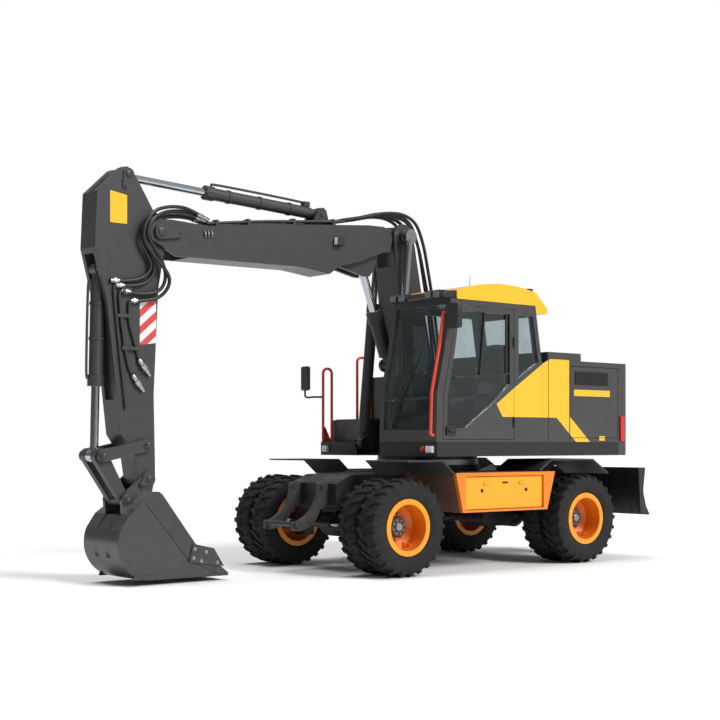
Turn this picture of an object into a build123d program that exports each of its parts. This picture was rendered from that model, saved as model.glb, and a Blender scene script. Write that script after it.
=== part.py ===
from build123d import *
import os
from math import cos, hypot, pi, sin, radians

# Wheeled excavator: a carrier on twin wheels with a dozer blade, a slewing upper body with
# its cab, and a two-piece boom with arm and bucket.
# Millimetres. X is forward, Y is left, Z is up from the ground. Outlines are drawn in side
# view, with X counted from the slewing axis.

# Driving dimensions: wheels and carrier
wheel_base = 2800
tyre_radius = 525
tyre_width = 278
twin_spacing = 322
half_width = 1270
tread_half = 108
bead_half = 104
bead_radius = 257
rim_wall = 12
flange_radius = 303
inner_flange_radius = 288
flange_thick = 13
hub_radius = 112
hub_reach = 118
spindle_radius = 60
spindle_half = 60
knuckle_y = 600
kingpin_radius = 30
kingpin_reach = 150
frame_half = 400
frame_top = 1080
frame_bottom = 680
turret_radius = 620
turret_top = 1165
ring_outer = 600
ring_inner = 470
ring_height = 60
axle_tube_radius = 75
differential_radius = 152
fender_inner = 550
fender_outer = 1250
fender_thick = 16
step_top = 1090
step_bottom = 655

# Driving dimensions: blade
blade_pivot = (-1580, 720)
blade_base_pin = (-1700, 960)
blade_eye_pin = (-2300, 870)
blade_half = 1270
blade_arm_y = 440
blade_cylinder_y = 250
blade_rear = -2565
blade_bottom = 533
blade_top = 1115

# Driving dimensions: upper body
deck_bottom = 1270
deck_top = 1430
body_half = 1240
body_front = 985
right_front = 640
bay_front = 500
bay_left = 285
bay_right = -545
panel_front = -760
panel_rear = -2005
panel_top = 2380
hump_top = 2470
panel_wall = 30
weight_side_rear = -2174
weight_rear = -2330
cab_inner = 300
cab_wall = 45
cab_rear = -650
door_rear = -195
door_bottom = 1452
door_top = 2920
door_gap = 6
glass_thick = 8
rail_radius = 17

# Driving dimensions: boom, arm and bucket
boom_y = -130
boom_half = 190
arm_half = 150
boom_foot = (100, 1850)
boom_knee = (420, 3810)
lift_base_pin = (660, 1420)
lift_offset = 280
adjust_base_pin = (490, 2330)
adjust_eye_pin = (900, 3410)
arm_pivot = (3700, 3550)
arm_base_pin = (1554, 3981)
arm_eye_pin = (4040, 4100)
bucket_pivot = (3838, 1055)
guide_pivot = (3850, 1394)
rod_pin = (4345, 1290)
bucket_link_pin = (4077, 845)
bucket_base_pin = (4300, 3150)
bucket_half = 350
link_boss = 78
main_pin = 50
cylinder_pin = 35
lift_barrel = 65
adjust_barrel = 85
arm_barrel = 65
bucket_barrel = 70
lift_rod = 42
adjust_rod = 48
arm_rod = 42
bucket_rod = 42
eye_half = 55
ear_gap = 5
ear_thick = 40
neck_length = 115

# Clearances
pin_gap = 0.3
seat_gap = 0.3
move_gap = 5

# Places worked out from the sizes above
front_reach = rod_pin[0] + link_boss
slew_x = -(front_reach + blade_rear) / 2
axle_x = wheel_base / 2
wheel_y = half_width - tyre_width / 2 - twin_spacing / 2
hub_y = wheel_y
blade_pin = 30
SIDES = {"left": 1, "right": -1}

os.makedirs("parts", exist_ok=True)


def side(y):
    """A drawing plane seen from the left turned over: X forward, Z up, at this Y."""
    return Plane(origin=(slew_x, y, 0), x_dir=(1, 0, 0), z_dir=(0, -1, 0))


def level(z):
    """A horizontal drawing plane at this height, drawn from the slewing axis."""
    return Plane(origin=(slew_x, 0, z), x_dir=(1, 0, 0), z_dir=(0, 0, 1))


def facing(x):
    """An upright drawing plane across the machine: Y to the left, Z up, looking rearward."""
    return Plane(origin=(slew_x + x, 0, 0), x_dir=(0, 1, 0), z_dir=(1, 0, 0))


def wheel_plane(x, y):
    """A plane through a wheel's axis: first coordinate radius, second along the axis."""
    return Plane(origin=(slew_x + x, y, tyre_radius), x_dir=(1, 0, 0), z_dir=(0, 0, 1))


def plate(outline, y, width, mode=Mode.ADD, corner=0):
    """A plate with this side outline, its middle at y."""
    with BuildSketch(side(y)) as face:
        with BuildLine():
            Polyline(*outline, close=True)
        make_face()
        if corner:
            fillet(face.vertices(), corner)
    extrude(face.sketch, amount=width / 2, both=True, mode=mode)


def slab(outline, z, height, mode=Mode.ADD):
    """A slab with this plan outline, its underside at z."""
    with BuildSketch(level(z)) as face:
        with BuildLine():
            Polyline(*outline, close=True)
        make_face()
    extrude(face.sketch, amount=height, mode=mode)


def block(x, y, z, mode=Mode.ADD):
    """A block between these pairs of limits."""
    with BuildSketch(level(z[0])) as face:
        with Locations(((x[0] + x[1]) / 2, (y[0] + y[1]) / 2)):
            Rectangle(abs(x[1] - x[0]), abs(y[1] - y[0]))
    extrude(face.sketch, amount=z[1] - z[0], mode=mode)


def disc(place, radius, y, width, mode=Mode.ADD):
    """A round boss, pin or bore across the machine, its middle at y."""
    with BuildSketch(side(y)) as face:
        with Locations(place):
            Circle(radius)
    extrude(face.sketch, amount=width / 2, both=True, mode=mode)


def link(first, first_radius, second, second_radius, y, width, mode=Mode.ADD):
    """A flat link: the outline around two round ends."""
    with BuildSketch(side(y)) as face:
        with Locations(first):
            Circle(first_radius)
        with Locations(second):
            Circle(second_radius)
        make_hull()
    extrude(face.sketch, amount=width / 2, both=True, mode=mode)


def along(start, end, y, distance=0):
    """A plane square to the line between two side-view points, this far from the start."""
    length = hypot(end[0] - start[0], end[1] - start[1])
    step = ((end[0] - start[0]) / length, (end[1] - start[1]) / length)
    origin = (slew_x + start[0] + step[0] * distance, y, start[1] + step[1] * distance)
    return Plane(origin=origin, x_dir=(0, 1, 0), z_dir=(step[0], 0, step[1]))


def tube(start, end, y, radius, begin, finish, mode=Mode.ADD):
    """A round bar on the line between two side-view points, from begin to finish."""
    with BuildSketch(along(start, end, y, begin)) as face:
        Circle(radius)
    extrude(face.sketch, amount=finish - begin, mode=mode)


def span(start, end):
    """The distance between two side-view points."""
    return hypot(end[0] - start[0], end[1] - start[1])


def barrel(base, eye, y, radius, rod, length, depth, pin, half):
    """A cylinder barrel: base eye and neck, tube, gland, and the rod's bore."""
    disc(base, pin * 2, y, half * 2)
    tube(base, eye, y, half - 2, 0, neck_length + 1)
    tube(base, eye, y, radius, neck_length, length)
    tube(base, eye, y, radius + 12, length - radius * 1.6, length)
    tube(base, eye, y, rod + pin_gap, length - depth, length + 1, Mode.SUBTRACT)
    disc(base, pin + pin_gap, y, half * 2, Mode.SUBTRACT)


def rod(base, eye, y, radius, start, pin, half, gap=0):
    """A cylinder rod from inside its barrel to its eye, with its pin held in the eye."""
    length = span(base, eye)
    tube(base, eye, y, radius, start, length)
    tube(base, eye, y, radius * 1.25, length - pin * 2 - 12, length - pin)
    disc(eye, pin * 2, y, half * 2)


def tyre_section(wide):
    """One tyre's cut face beside the wheel's axis, its middle at this place along it."""
    with BuildSketch(wheel_plane(place_x, place_y)) as face:
        with BuildLine():
            Polyline(
                (flange_radius + 3, wide + bead_half),
                (bead_radius + seat_gap, wide + bead_half),
                (bead_radius + seat_gap, wide - bead_half),
                (flange_radius + 3, wide - bead_half),
            )
            ThreePointArc(
                (flange_radius + 3, wide - bead_half),
                (tyre_radius - 132, wide - tyre_width / 2),
                (tyre_radius - 32, wide - tread_half - 14),
            )
            Polyline(
                (tyre_radius - 32, wide - tread_half - 14),
                (tyre_radius, wide - tread_half),
                (tyre_radius, wide + tread_half),
                (tyre_radius - 32, wide + tread_half + 14),
            )
            ThreePointArc(
                (tyre_radius - 32, wide + tread_half + 14),
                (tyre_radius - 132, wide + tyre_width / 2),
                (flange_radius + 3, wide + bead_half),
            )
        make_face()
    return face.sketch


def ring_section(outline):
    """A cut face beside the wheel's axis: pairs of radius and place along the axis."""
    with BuildSketch(wheel_plane(place_x, place_y)) as face:
        with BuildLine():
            Polyline(*outline, close=True)
        make_face()
    return face.sketch


# Wheels: each body has two tyres on two rims bolted back to back on one hub
twin_half = twin_spacing / 2
rim_inside = bead_radius - rim_wall
rim_outer_end = twin_half + bead_half + 1 + flange_thick
rim_inner_end = twin_half - bead_half - 1 - flange_thick
disc_radius = 190
for end_name, end_sign in {"front": 1, "rear": -1}.items():
    for side_name, side_sign in SIDES.items():
        place_x = end_sign * axle_x
        place_y = side_sign * wheel_y
        name = f"{end_name}_{side_name}"
        axle = Axis((slew_x + place_x, 0, tyre_radius), (0, 1, 0))
        with BuildPart() as tyres:
            for wide in (-twin_half, twin_half):
                revolve(tyre_section(wide), axis=axle)
        tyres.part.label = f"{name}_tyres"
        export_step(tyres.part, f"parts/{name}_tyres.step")

        with BuildPart() as rims:
            for turn in (-1, 1):
                revolve(
                    ring_section(
                        (
                            (rim_inside, turn * rim_inner_end),
                            (inner_flange_radius, turn * rim_inner_end),
                            (inner_flange_radius, turn * (rim_inner_end + flange_thick)),
                            (bead_radius, turn * (rim_inner_end + flange_thick)),
                            (bead_radius, turn * (rim_outer_end - flange_thick)),
                            (flange_radius, turn * (rim_outer_end - flange_thick)),
                            (flange_radius, turn * rim_outer_end),
                            (rim_inside, turn * rim_outer_end),
                        )
                    ),
                    axis=axle,
                )
                revolve(
                    ring_section(
                        (
                            (hub_radius - 10, 0),
                            (disc_radius, 0),
                            (rim_inside + 2, turn * rim_inner_end),
                            (rim_inside + 2, turn * (rim_inner_end + 20)),
                            (disc_radius - 6, turn * 14),
                            (hub_radius - 10, turn * 14),
                        )
                    ),
                    axis=axle,
                )
            cap = side_sign * hub_reach
            end = side_sign * (spindle_half + 1)
            back = -side_sign * spindle_half
            revolve(
                ring_section(
                    (
                        (spindle_radius + pin_gap, back),
                        (hub_radius, back),
                        (hub_radius, cap - side_sign * 16),
                        (hub_radius - 16, cap),
                        (0, cap),
                        (0, end),
                        (spindle_radius + pin_gap, end),
                    )
                ),
                axis=axle,
            )
        rims.part.label = f"{name}_rims"
        export_step(rims.part, f"parts/{name}_rims.step")

# Carrier frame, its turret, the blade's ears and the blade cylinders' ears
with BuildPart() as carrier_frame:
    plate(
        (
            (-1740, 720),
            (-1740, 840),
            (-1615, 880),
            (-1615, 1040),
            (-620, frame_top),
            (700, frame_top),
            (1500, 1065),
            (1700, 975),
            (1700, 740),
            (1600, frame_bottom),
            (-1740, frame_bottom),
        ),
        0,
        frame_half * 2,
    )
    with BuildSketch(level(frame_top - 60)):
        Circle(turret_radius)
    extrude(amount=turret_top - frame_top + 60)
    for sign in SIDES.values():
        y = sign * blade_cylinder_y
        for ear in (-1, 1):
            ear_y = y + ear * (eye_half / 2 + ear_gap + 10)
            link((-1600, 950), 70, blade_base_pin, 60, ear_y, 20)
        disc(blade_base_pin, blade_pin, y, eye_half + 2 * ear_gap + 50)
        disc(blade_pivot, blade_pin, sign * (frame_half + 40), 80)
carrier_frame.part.label = "carrier_frame"
export_step(carrier_frame.part, "parts/carrier_frame.step")

with BuildPart() as slew_ring:
    with BuildSketch(level(turret_top)):
        Circle(ring_outer)
        Circle(ring_inner, mode=Mode.SUBTRACT)
    extrude(amount=ring_height)
slew_ring.part.label = "slew_ring"
export_step(slew_ring.part, "parts/slew_ring.step")

# Axles: a differential housing with tapered tubes; the front one ends in kingpin forks
fork_inner = 490
fork_outer = 665
fork_half = 62
tube_end_radius = 58
steer_cylinder_x = axle_x + 215
steer_cylinder_z = 520
steer_cylinder_radius = 36
for end_name, end_sign in {"front": 1, "rear": -1}.items():
    place_x = end_sign * axle_x
    place_y = 0
    axle = Axis((slew_x + place_x, 0, tyre_radius), (0, 1, 0))
    with BuildPart() as housing:
        revolve(
            ring_section(
                (
                    (0, -fork_inner),
                    (tube_end_radius, -fork_inner),
                    (axle_tube_radius, -210),
                    (differential_radius, -90),
                    (differential_radius, 90),
                    (axle_tube_radius, 210),
                    (tube_end_radius, fork_inner),
                    (0, fork_inner),
                )
            ),
            axis=axle,
        )
        block(
            (place_x - 90, place_x + 90),
            (-110, 110),
            (tyre_radius + 100, frame_bottom),
        )
        for sign in SIDES.values():
            if end_name == "front":
                block(
                    (place_x - fork_half, place_x + fork_half),
                    (sign * (fork_inner - 20), sign * fork_outer),
                    (tyre_radius - kingpin_reach - 12, tyre_radius + kingpin_reach + 12),
                )
                block(
                    (place_x - fork_half - 1, place_x + fork_half + 1),
                    (sign * fork_inner, sign * (fork_outer + 1)),
                    (tyre_radius - 92, tyre_radius + 92),
                    Mode.SUBTRACT,
                )
                with BuildSketch(level(tyre_radius - kingpin_reach - 1)) as bore:
                    with Locations((place_x, sign * knuckle_y)):
                        Circle(kingpin_radius + pin_gap)
                extrude(bore.sketch, amount=2 * kingpin_reach + 2, mode=Mode.SUBTRACT)
            else:
                revolve(
                    ring_section(
                        (
                            (0, sign * (fork_inner - 1)),
                            (tube_end_radius + 22, sign * (fork_inner - 1)),
                            (tube_end_radius + 22, sign * (hub_y - spindle_half - 1)),
                            (spindle_radius, sign * (hub_y - spindle_half - 1)),
                            (spindle_radius, sign * (hub_y + spindle_half)),
                            (0, sign * (hub_y + spindle_half)),
                        )
                    ),
                    axis=axle,
                )
        if end_name == "front":
            with BuildSketch(Plane(
                origin=(slew_x + steer_cylinder_x, 0, steer_cylinder_z),
                x_dir=(1, 0, 0),
                z_dir=(0, 1, 0),
            )) as cylinder:
                Circle(steer_cylinder_radius)
                Circle(20 + pin_gap, mode=Mode.SUBTRACT)
            extrude(cylinder.sketch, amount=200, both=True)
            block(
                (place_x + 60, steer_cylinder_x - steer_cylinder_radius + 8),
                (140, 195),
                (steer_cylinder_z - 20, steer_cylinder_z + 20),
            )
            block(
                (place_x + 60, steer_cylinder_x - steer_cylinder_radius + 8),
                (-195, -140),
                (steer_cylinder_z - 20, steer_cylinder_z + 20),
            )
    housing.part.label = f"{end_name}_axle"
    export_step(housing.part, f"parts/{end_name}_axle.step")

# Knuckles on the kingpins, with the front wheels' spindles, and the steering rod
knuckle_arm = steer_cylinder_x - axle_x
for side_name, sign in SIDES.items():
    place_x = axle_x
    place_y = 0
    axle = Axis((slew_x + place_x, 0, tyre_radius), (0, 1, 0))
    with BuildPart() as knuckle:
        with BuildSketch(level(tyre_radius - kingpin_reach)) as pin:
            with Locations((axle_x, sign * knuckle_y)):
                Circle(kingpin_radius)
        extrude(pin.sketch, amount=2 * kingpin_reach)
        with BuildSketch(level(tyre_radius - 86)) as body:
            with Locations((axle_x, sign * knuckle_y)):
                Circle(58)
        extrude(body.sketch, amount=172)
        revolve(
            ring_section(
                (
                    (0, sign * knuckle_y),
                    (55, sign * knuckle_y),
                    (tube_end_radius + 22, sign * (knuckle_y + 80)),
                    (tube_end_radius + 22, sign * (hub_y - spindle_half - 1)),
                    (spindle_radius, sign * (hub_y - spindle_half - 1)),
                    (spindle_radius, sign * (hub_y + spindle_half)),
                    (0, sign * (hub_y + spindle_half)),
                )
            ),
            axis=axle,
        )
        with BuildSketch(level(tyre_radius - 80)) as arm_face:
            with Locations((axle_x, sign * knuckle_y)):
                Circle(45)
            with Locations((axle_x + knuckle_arm, sign * (knuckle_y - 25))):
                Circle(30)
            make_hull()
        extrude(arm_face.sketch, amount=25)
    knuckle.part.label = f"{side_name}_knuckle"
    export_step(knuckle.part, f"parts/{side_name}_knuckle.step")

with BuildPart() as steering_rod:
    with BuildSketch(Plane(
        origin=(slew_x + steer_cylinder_x, 0, steer_cylinder_z),
        x_dir=(1, 0, 0),
        z_dir=(0, 1, 0),
    )):
        Circle(20)
    extrude(amount=knuckle_y - 25, both=True)
    for sign in SIDES.values():
        with BuildSketch(level(tyre_radius - 80 + 25 + move_gap)) as eye:
            with Locations((steer_cylinder_x, sign * (knuckle_y - 25))):
                Circle(30)
        extrude(eye.sketch, amount=80)
steering_rod.part.label = "steering_rod"
export_step(steering_rod.part, "parts/steering_rod.step")

# Gearbox under the frame with the shafts to both axles
gearbox_rear = -axle_x + 200
gearbox_front = gearbox_rear + 480
with BuildPart() as driveline:
    plate(
        (
            (gearbox_rear, 450),
            (gearbox_rear + 70, 405),
            (gearbox_front - 80, 405),
            (gearbox_front, 460),
            (gearbox_front, frame_bottom),
            (gearbox_rear, frame_bottom),
        ),
        0,
        420,
    )
    rear_end = -axle_x + differential_radius
    front_end = axle_x - differential_radius
    with BuildSketch(facing(rear_end)) as shaft:
        with Locations((0, tyre_radius)):
            Circle(42)
    extrude(shaft.sketch, amount=front_end - rear_end)
    for flange_x in (rear_end, front_end - 25):
        with BuildSketch(facing(flange_x)) as flange:
            with Locations((0, tyre_radius)):
                Circle(72)
        extrude(flange.sketch, amount=25)
driveline.part.label = "driveline"
export_step(driveline.part, "parts/driveline.step")

# Fenders: bent plates on brackets from the frame
front_fender = (
    (1410, 1230),
    (900, 1230),
    (728, 1078),
    (728, 1078 - fender_thick),
    (906, 1230 - fender_thick),
    (1410, 1230 - fender_thick),
)
rear_fender = (
    (-600, 1110),
    (-800, 1230),
    (-1524, 1230),
    (-1804, 1065),
    (-1796, 1065 - fender_thick),
    (-1520, 1230 - fender_thick),
    (-806, 1230 - fender_thick),
    (-608, 1110 - fender_thick),
)
front_skirt = ((1410, 1222), (900, 1222), (760, 1100), (860, 1068), (1240, 1068))
rear_skirt = ((-760, 1200), (-1524, 1222), (-1640, 1150), (-1400, 1068), (-900, 1068))
with BuildPart() as fenders:
    for sign in SIDES.values():
        middle = sign * (fender_inner + fender_outer) / 2
        wide = fender_outer - fender_inner
        plate(front_fender, middle, wide)
        plate(rear_fender, middle, wide)
        plate(front_skirt, sign * (fender_inner + 8), 16)
        plate(rear_skirt, sign * (fender_inner + 8), 16)
        for start in (950, -1150):
            block(
                (start, start + 180),
                (sign * frame_half, sign * (fender_inner + 16)),
                (1060, 1078),
            )
fenders.part.label = "fenders"
export_step(fenders.part, "parts/fenders.step")

# Step boxes: the left one is a hollow locker with a lid, the right one is closed
step_outline = ((716, step_top), (610, step_bottom), (-730, step_bottom), (-860, step_top))
locker_x = (-640, 540)
locker_z = (700, 1020)
locker_depth = 500
lid_thick = 22
step_outer = fender_outer
with BuildPart() as step_boxes:
    for sign in SIDES.values():
        middle = sign * (frame_half + step_outer) / 2
        plate(step_outline, middle, step_outer - frame_half)
    block(
        locker_x,
        (step_outer - locker_depth, step_outer + 1),
        locker_z,
        Mode.SUBTRACT,
    )
    block(
        (locker_x[0] - 30, locker_x[1] + 30),
        (step_outer - lid_thick - 25, step_outer + 1),
        (locker_z[0] - 20, locker_z[1] + 30),
        Mode.SUBTRACT,
    )
    with BuildSketch(level(frame_top - 60)):
        Circle(turret_radius + seat_gap)
    extrude(amount=step_top, mode=Mode.SUBTRACT)
step_boxes.part.label = "step_boxes"
export_step(step_boxes.part, "parts/step_boxes.step")

lid_y = step_outer - 24
with BuildPart() as locker_lid:
    block(
        (locker_x[0] - 24, locker_x[1] + 24),
        (lid_y - lid_thick, lid_y),
        (locker_z[0] - 14, locker_z[1] + 24),
    )
    for latch_x in (-330, 230):
        block((latch_x - 45, latch_x + 45), (lid_y - 1, lid_y + 14), (950, 985))
locker_lid.part.label = "locker_lid"
export_step(locker_lid.part, "parts/locker_lid.step")

# Holder in front of the frame: two hooked plates and the bar between their tips
hook_y = 250
hook_thick = 40
holder_bore = 34
holder_bar_place = (2145, 540)
holder_bar_radius = 30
holder_pin_place = (1800, 916)
with BuildPart() as tool_holder:
    for sign in SIDES.values():
        with BuildSketch(side(sign * hook_y)) as hook:
            with BuildLine():
                Polyline((1700, 730), (1700, 960), (1760, 990), (1850, 975))
                ThreePointArc((1850, 975), (1950, 690), (2190, 560))
                Line((2190, 560), (2200, 480))
                ThreePointArc((2200, 480), (1980, 500), (1820, 690))
                Line((1820, 690), (1700, 730))
            make_face()
        extrude(hook.sketch, amount=hook_thick / 2, both=True)
        disc(holder_pin_place, holder_bore, sign * hook_y, hook_thick + 2, Mode.SUBTRACT)
        disc(holder_bar_place, holder_bar_radius, sign * hook_y, hook_thick + 2, Mode.SUBTRACT)
tool_holder.part.label = "tool_holder"
export_step(tool_holder.part, "parts/tool_holder.step")

with BuildPart() as holder_bar:
    disc(holder_bar_place, holder_bar_radius, 0, 2 * hook_y + hook_thick + 60)
holder_bar.part.label = "holder_bar"
export_step(holder_bar.part, "parts/holder_bar.step")

# Dozer blade: curved mouldboard, end plates, and two arms to the frame
board_thick = 28
with BuildPart() as blade:
    with BuildSketch(side(0)) as board:
        with BuildLine():
            ThreePointArc((-2480, blade_top), (-2440, 820), (blade_rear, blade_bottom))
            Line((blade_rear, blade_bottom), (blade_rear + 60, blade_bottom))
            ThreePointArc(
                (blade_rear + 60, blade_bottom),
                (-2440 + board_thick, 820),
                (-2480 + board_thick, blade_top),
            )
            Line((-2480 + board_thick, blade_top), (-2480, blade_top))
        make_face()
    extrude(board.sketch, amount=blade_half, both=True)
    for sign in SIDES.values():
        plate(
            (
                (-2475, blade_top),
                (-2345, blade_top),
                (-2385, blade_bottom + 10),
                (-2520, blade_bottom + 10),
                (-2435, 820),
            ),
            sign * (blade_half - 15),
            30,
        )
        link(blade_pivot, 62, (-2380, 640), 62, sign * blade_arm_y, 50)
        plate(
            ((-2100, 640), (-2420, 600), (-2430, 860), (-2330, 840)),
            sign * blade_arm_y,
            50,
        )
        disc(
            blade_pivot,
            blade_pin + pin_gap,
            sign * blade_arm_y,
            52,
            Mode.SUBTRACT,
        )
        for ear in (-1, 1):
            ear_y = sign * blade_cylinder_y + ear * (eye_half / 2 + ear_gap + 10)
            link((-2430, 900), 60, blade_eye_pin, 45, ear_y, 20)
    block((-2425, -2360), (-blade_arm_y, blade_arm_y), (610, 700))
blade.part.label = "blade"
export_step(blade.part, "parts/blade.step")

blade_barrel_length = 335
with BuildPart() as blade_barrels:
    for sign in SIDES.values():
        barrel(
            blade_base_pin,
            blade_eye_pin,
            sign * blade_cylinder_y,
            48,
            25,
            blade_barrel_length,
            262,
            blade_pin,
            eye_half / 2,
        )
blade_barrels.part.label = "blade_barrels"
export_step(blade_barrels.part, "parts/blade_barrels.step")

with BuildPart() as blade_rods:
    for sign in SIDES.values():
        rod(
            blade_base_pin,
            blade_eye_pin,
            sign * blade_cylinder_y,
            25,
            blade_barrel_length - 250,
            20,
            eye_half / 2,
        )
blade_rods.part.label = "blade_rods"
export_step(blade_rods.part, "parts/blade_rods.step")

# Upper frame: the deck, the ring flange below it, and the ears for boom and lift cylinders
foot_ear_thick = 30
with BuildPart() as upper_frame:
    slab(
        (
            (body_front, body_half),
            (body_front, bay_left),
            (bay_front, bay_left),
            (bay_front, bay_right),
            (right_front, bay_right),
            (right_front, -body_half),
            (panel_rear, -body_half),
            (panel_rear, body_half),
        ),
        deck_bottom,
        deck_top - deck_bottom,
    )
    ring_top = turret_top + ring_height + seat_gap
    with BuildSketch(level(ring_top)):
        Circle(ring_outer - 10)
        Circle(ring_inner, mode=Mode.SUBTRACT)
    extrude(amount=deck_bottom - ring_top)
    for sign in (-1, 1):
        ear_y = boom_y + sign * (boom_half + ear_gap + foot_ear_thick / 2)
        plate(
            (
                (-330, deck_top - 10),
                (430, deck_top - 10),
                (230, 1830),
                (170, 1930),
                (100, 1960),
                (20, 1930),
                (-30, 1830),
            ),
            ear_y,
            foot_ear_thick,
        )
        cylinder_y = boom_y + sign * lift_offset
        for ear in (-1, 1):
            plate(
                (
                    (bay_front - 10, deck_bottom + 30),
                    (640, 1330),
                    (735, 1385),
                    (735, 1455),
                    (660, 1500),
                    (bay_front - 10, deck_top),
                ),
                cylinder_y + ear * (eye_half + ear_gap + 10 - 12),
                20,
            )
        disc(lift_base_pin, cylinder_pin, cylinder_y, eye_half * 2 + 20)
    disc(boom_foot, main_pin, boom_y, 2 * (boom_half + ear_gap + foot_ear_thick) + 30)
upper_frame.part.label = "upper_frame"
export_step(upper_frame.part, "parts/upper_frame.step")

# Counterweight: the curved tail behind the engine bay
with BuildPart() as counterweight:
    with BuildSketch(level(deck_bottom)) as tail:
        with BuildLine():
            Line((panel_rear - seat_gap, body_half), (weight_side_rear + 60, body_half))
            ThreePointArc(
                (weight_side_rear + 60, body_half),
                (weight_side_rear, body_half - 30),
                (weight_side_rear - 30, body_half - 110),
            )
            ThreePointArc(
                (weight_side_rear - 30, body_half - 110),
                (weight_rear, 0),
                (weight_side_rear - 30, 110 - body_half),
            )
            ThreePointArc(
                (weight_side_rear - 30, 110 - body_half),
                (weight_side_rear, 30 - body_half),
                (weight_side_rear + 60, -body_half),
            )
            Line((weight_side_rear + 60, -body_half), (panel_rear - seat_gap, -body_half))
            Line((panel_rear - seat_gap, -body_half), (panel_rear - seat_gap, body_half))
        make_face()
    extrude(tail.sketch, amount=panel_top - deck_bottom)
counterweight.part.label = "counterweight"
export_step(counterweight.part, "parts/counterweight.step")

# Engine bay panels: a hollow shell, open for the side doors and the hood
service_front = -1125
service_rear = panel_rear + 12
service_z = (deck_top + 45, panel_top - 60)
hood_front = -1405
hood_half = 950
with BuildPart() as body_panels:
    block((panel_rear, panel_front), (-body_half, body_half), (deck_top, panel_top))
    block(
        (panel_front - 570, panel_front),
        (-body_half + 120, body_half - 10),
        (panel_top - 1, hump_top),
    )
    block(
        (panel_rear + panel_wall, panel_front - panel_wall),
        (-body_half + panel_wall, body_half - panel_wall),
        (deck_top - 1, panel_top - panel_wall),
        Mode.SUBTRACT,
    )
    for sign in SIDES.values():
        block(
            (service_rear, service_front),
            (sign * (body_half - panel_wall - 1), sign * (body_half + 1)),
            service_z,
            Mode.SUBTRACT,
        )
    block(
        (panel_rear + 45, hood_front),
        (-hood_half, hood_half),
        (panel_top - panel_wall - 1, panel_top + 1),
        Mode.SUBTRACT,
    )
body_panels.part.label = "body_panels"
export_step(body_panels.part, "parts/body_panels.step")

for side_name, sign in SIDES.items():
    with BuildPart() as service_door:
        block(
            (service_rear + door_gap, service_front - door_gap),
            (sign * (body_half - panel_wall), sign * body_half),
            (service_z[0] + door_gap, service_z[1] - door_gap),
        )
    service_door.part.label = f"{side_name}_service_door"
    export_step(service_door.part, f"parts/{side_name}_service_door.step")

with BuildPart() as engine_hood:
    block(
        (panel_rear + 45 + door_gap, hood_front - door_gap),
        (-hood_half + door_gap, hood_half - door_gap),
        (panel_top - panel_wall, panel_top),
    )
engine_hood.part.label = "engine_hood"
export_step(engine_hood.part, "parts/engine_hood.step")

with BuildPart() as engine:
    block((-1750, -1000), (-800, 800), (deck_top, 2150))
engine.part.label = "engine"
export_step(engine.part, "parts/engine.step")

# Right side: low locker in front, fuel tank behind it
tank_front = -80
box_front = 470
box_top = 1700
tank_top = 2240
with BuildPart() as right_tanks:
    block((tank_front, box_front), (-body_half, bay_right - 15), (deck_top, box_top))
    block((panel_front + 1, tank_front), (-body_half, bay_right - 15), (deck_top, tank_top))
right_tanks.part.label = "right_tanks"
export_step(right_tanks.part, "parts/right_tanks.step")

# Cab: a hollow shell with its windows cut, and the door opening on the left
cab_floor = 30
cab_middle = (cab_inner + body_half) / 2
cab_width = body_half - cab_inner
cab_ceiling = 2985
cab_outline = (
    (1000, deck_top),
    (985, 1960),
    (880, 2420),
    (785, cab_ceiling),
    (-540, cab_ceiling),
    (cab_rear, 2332),
    (cab_rear, deck_top),
)
cab_hollow = (
    (1000 - cab_wall, deck_top + cab_floor),
    (985 - cab_wall, 1955),
    (880 - cab_wall, 2412),
    (785 - cab_wall + 6, cab_ceiling - cab_wall),
    (-540 + cab_wall - 6, cab_ceiling - cab_wall),
    (cab_rear + cab_wall, 2328),
    (cab_rear + cab_wall, deck_top + cab_floor),
)
door_outline = (
    (905, door_bottom),
    (892, 1955),
    (790, 2405),
    (704, door_top),
    (door_rear, door_top),
    (door_rear, door_bottom),
)
door_window = (
    (840, 1580),
    (828, 1950),
    (728, 2395),
    (650, 2860),
    (door_rear + 70, 2860),
    (door_rear + 70, 2080),
    (100, 1880),
    (560, 1580),
)
right_window = (
    (880, 1600),
    (868, 1950),
    (765, 2400),
    (690, 2890),
    (-440, 2890),
    (-520, 2400),
    (-520, 2000),
    (300, 1750),
)
quarter_window = ((-265, 2860), (-500, 2860), (-590, 2345), (-265, 2150))
front_window_y = (cab_inner + 70, body_half - 70)
rear_window = (
    (cab_inner + 90, 2250),
    (body_half - 90, 2250),
    (body_half - 90, 2860),
    (cab_inner + 90, 2860),
)


def cross_cut(outline, x, length, mode):
    """A form with this outline across the machine, from x forward."""
    with BuildSketch(facing(x)) as face:
        with BuildLine():
            Polyline(*outline, close=True)
        make_face()
    extrude(face.sketch, amount=length, mode=mode)


with BuildPart() as cab_shell:
    plate(cab_outline, cab_middle, cab_width)
    plate(cab_hollow, cab_middle, cab_width - 2 * cab_wall, Mode.SUBTRACT)
    plate(door_outline, body_half - cab_wall / 2, cab_wall + 2, Mode.SUBTRACT)
    plate(quarter_window, body_half - cab_wall / 2, cab_wall + 2, Mode.SUBTRACT)
    plate(right_window, cab_inner + cab_wall / 2, cab_wall + 2, Mode.SUBTRACT)
    cross_cut(
        (
            (front_window_y[0], 1560),
            (front_window_y[1], 1560),
            (front_window_y[1], 2920),
            (front_window_y[0], 2920),
        ),
        500,
        600,
        Mode.SUBTRACT,
    )
    cross_cut(rear_window, cab_rear - 10, 300, Mode.SUBTRACT)
cab_shell.part.label = "cab_shell"
export_step(cab_shell.part, "parts/cab_shell.step")

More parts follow.
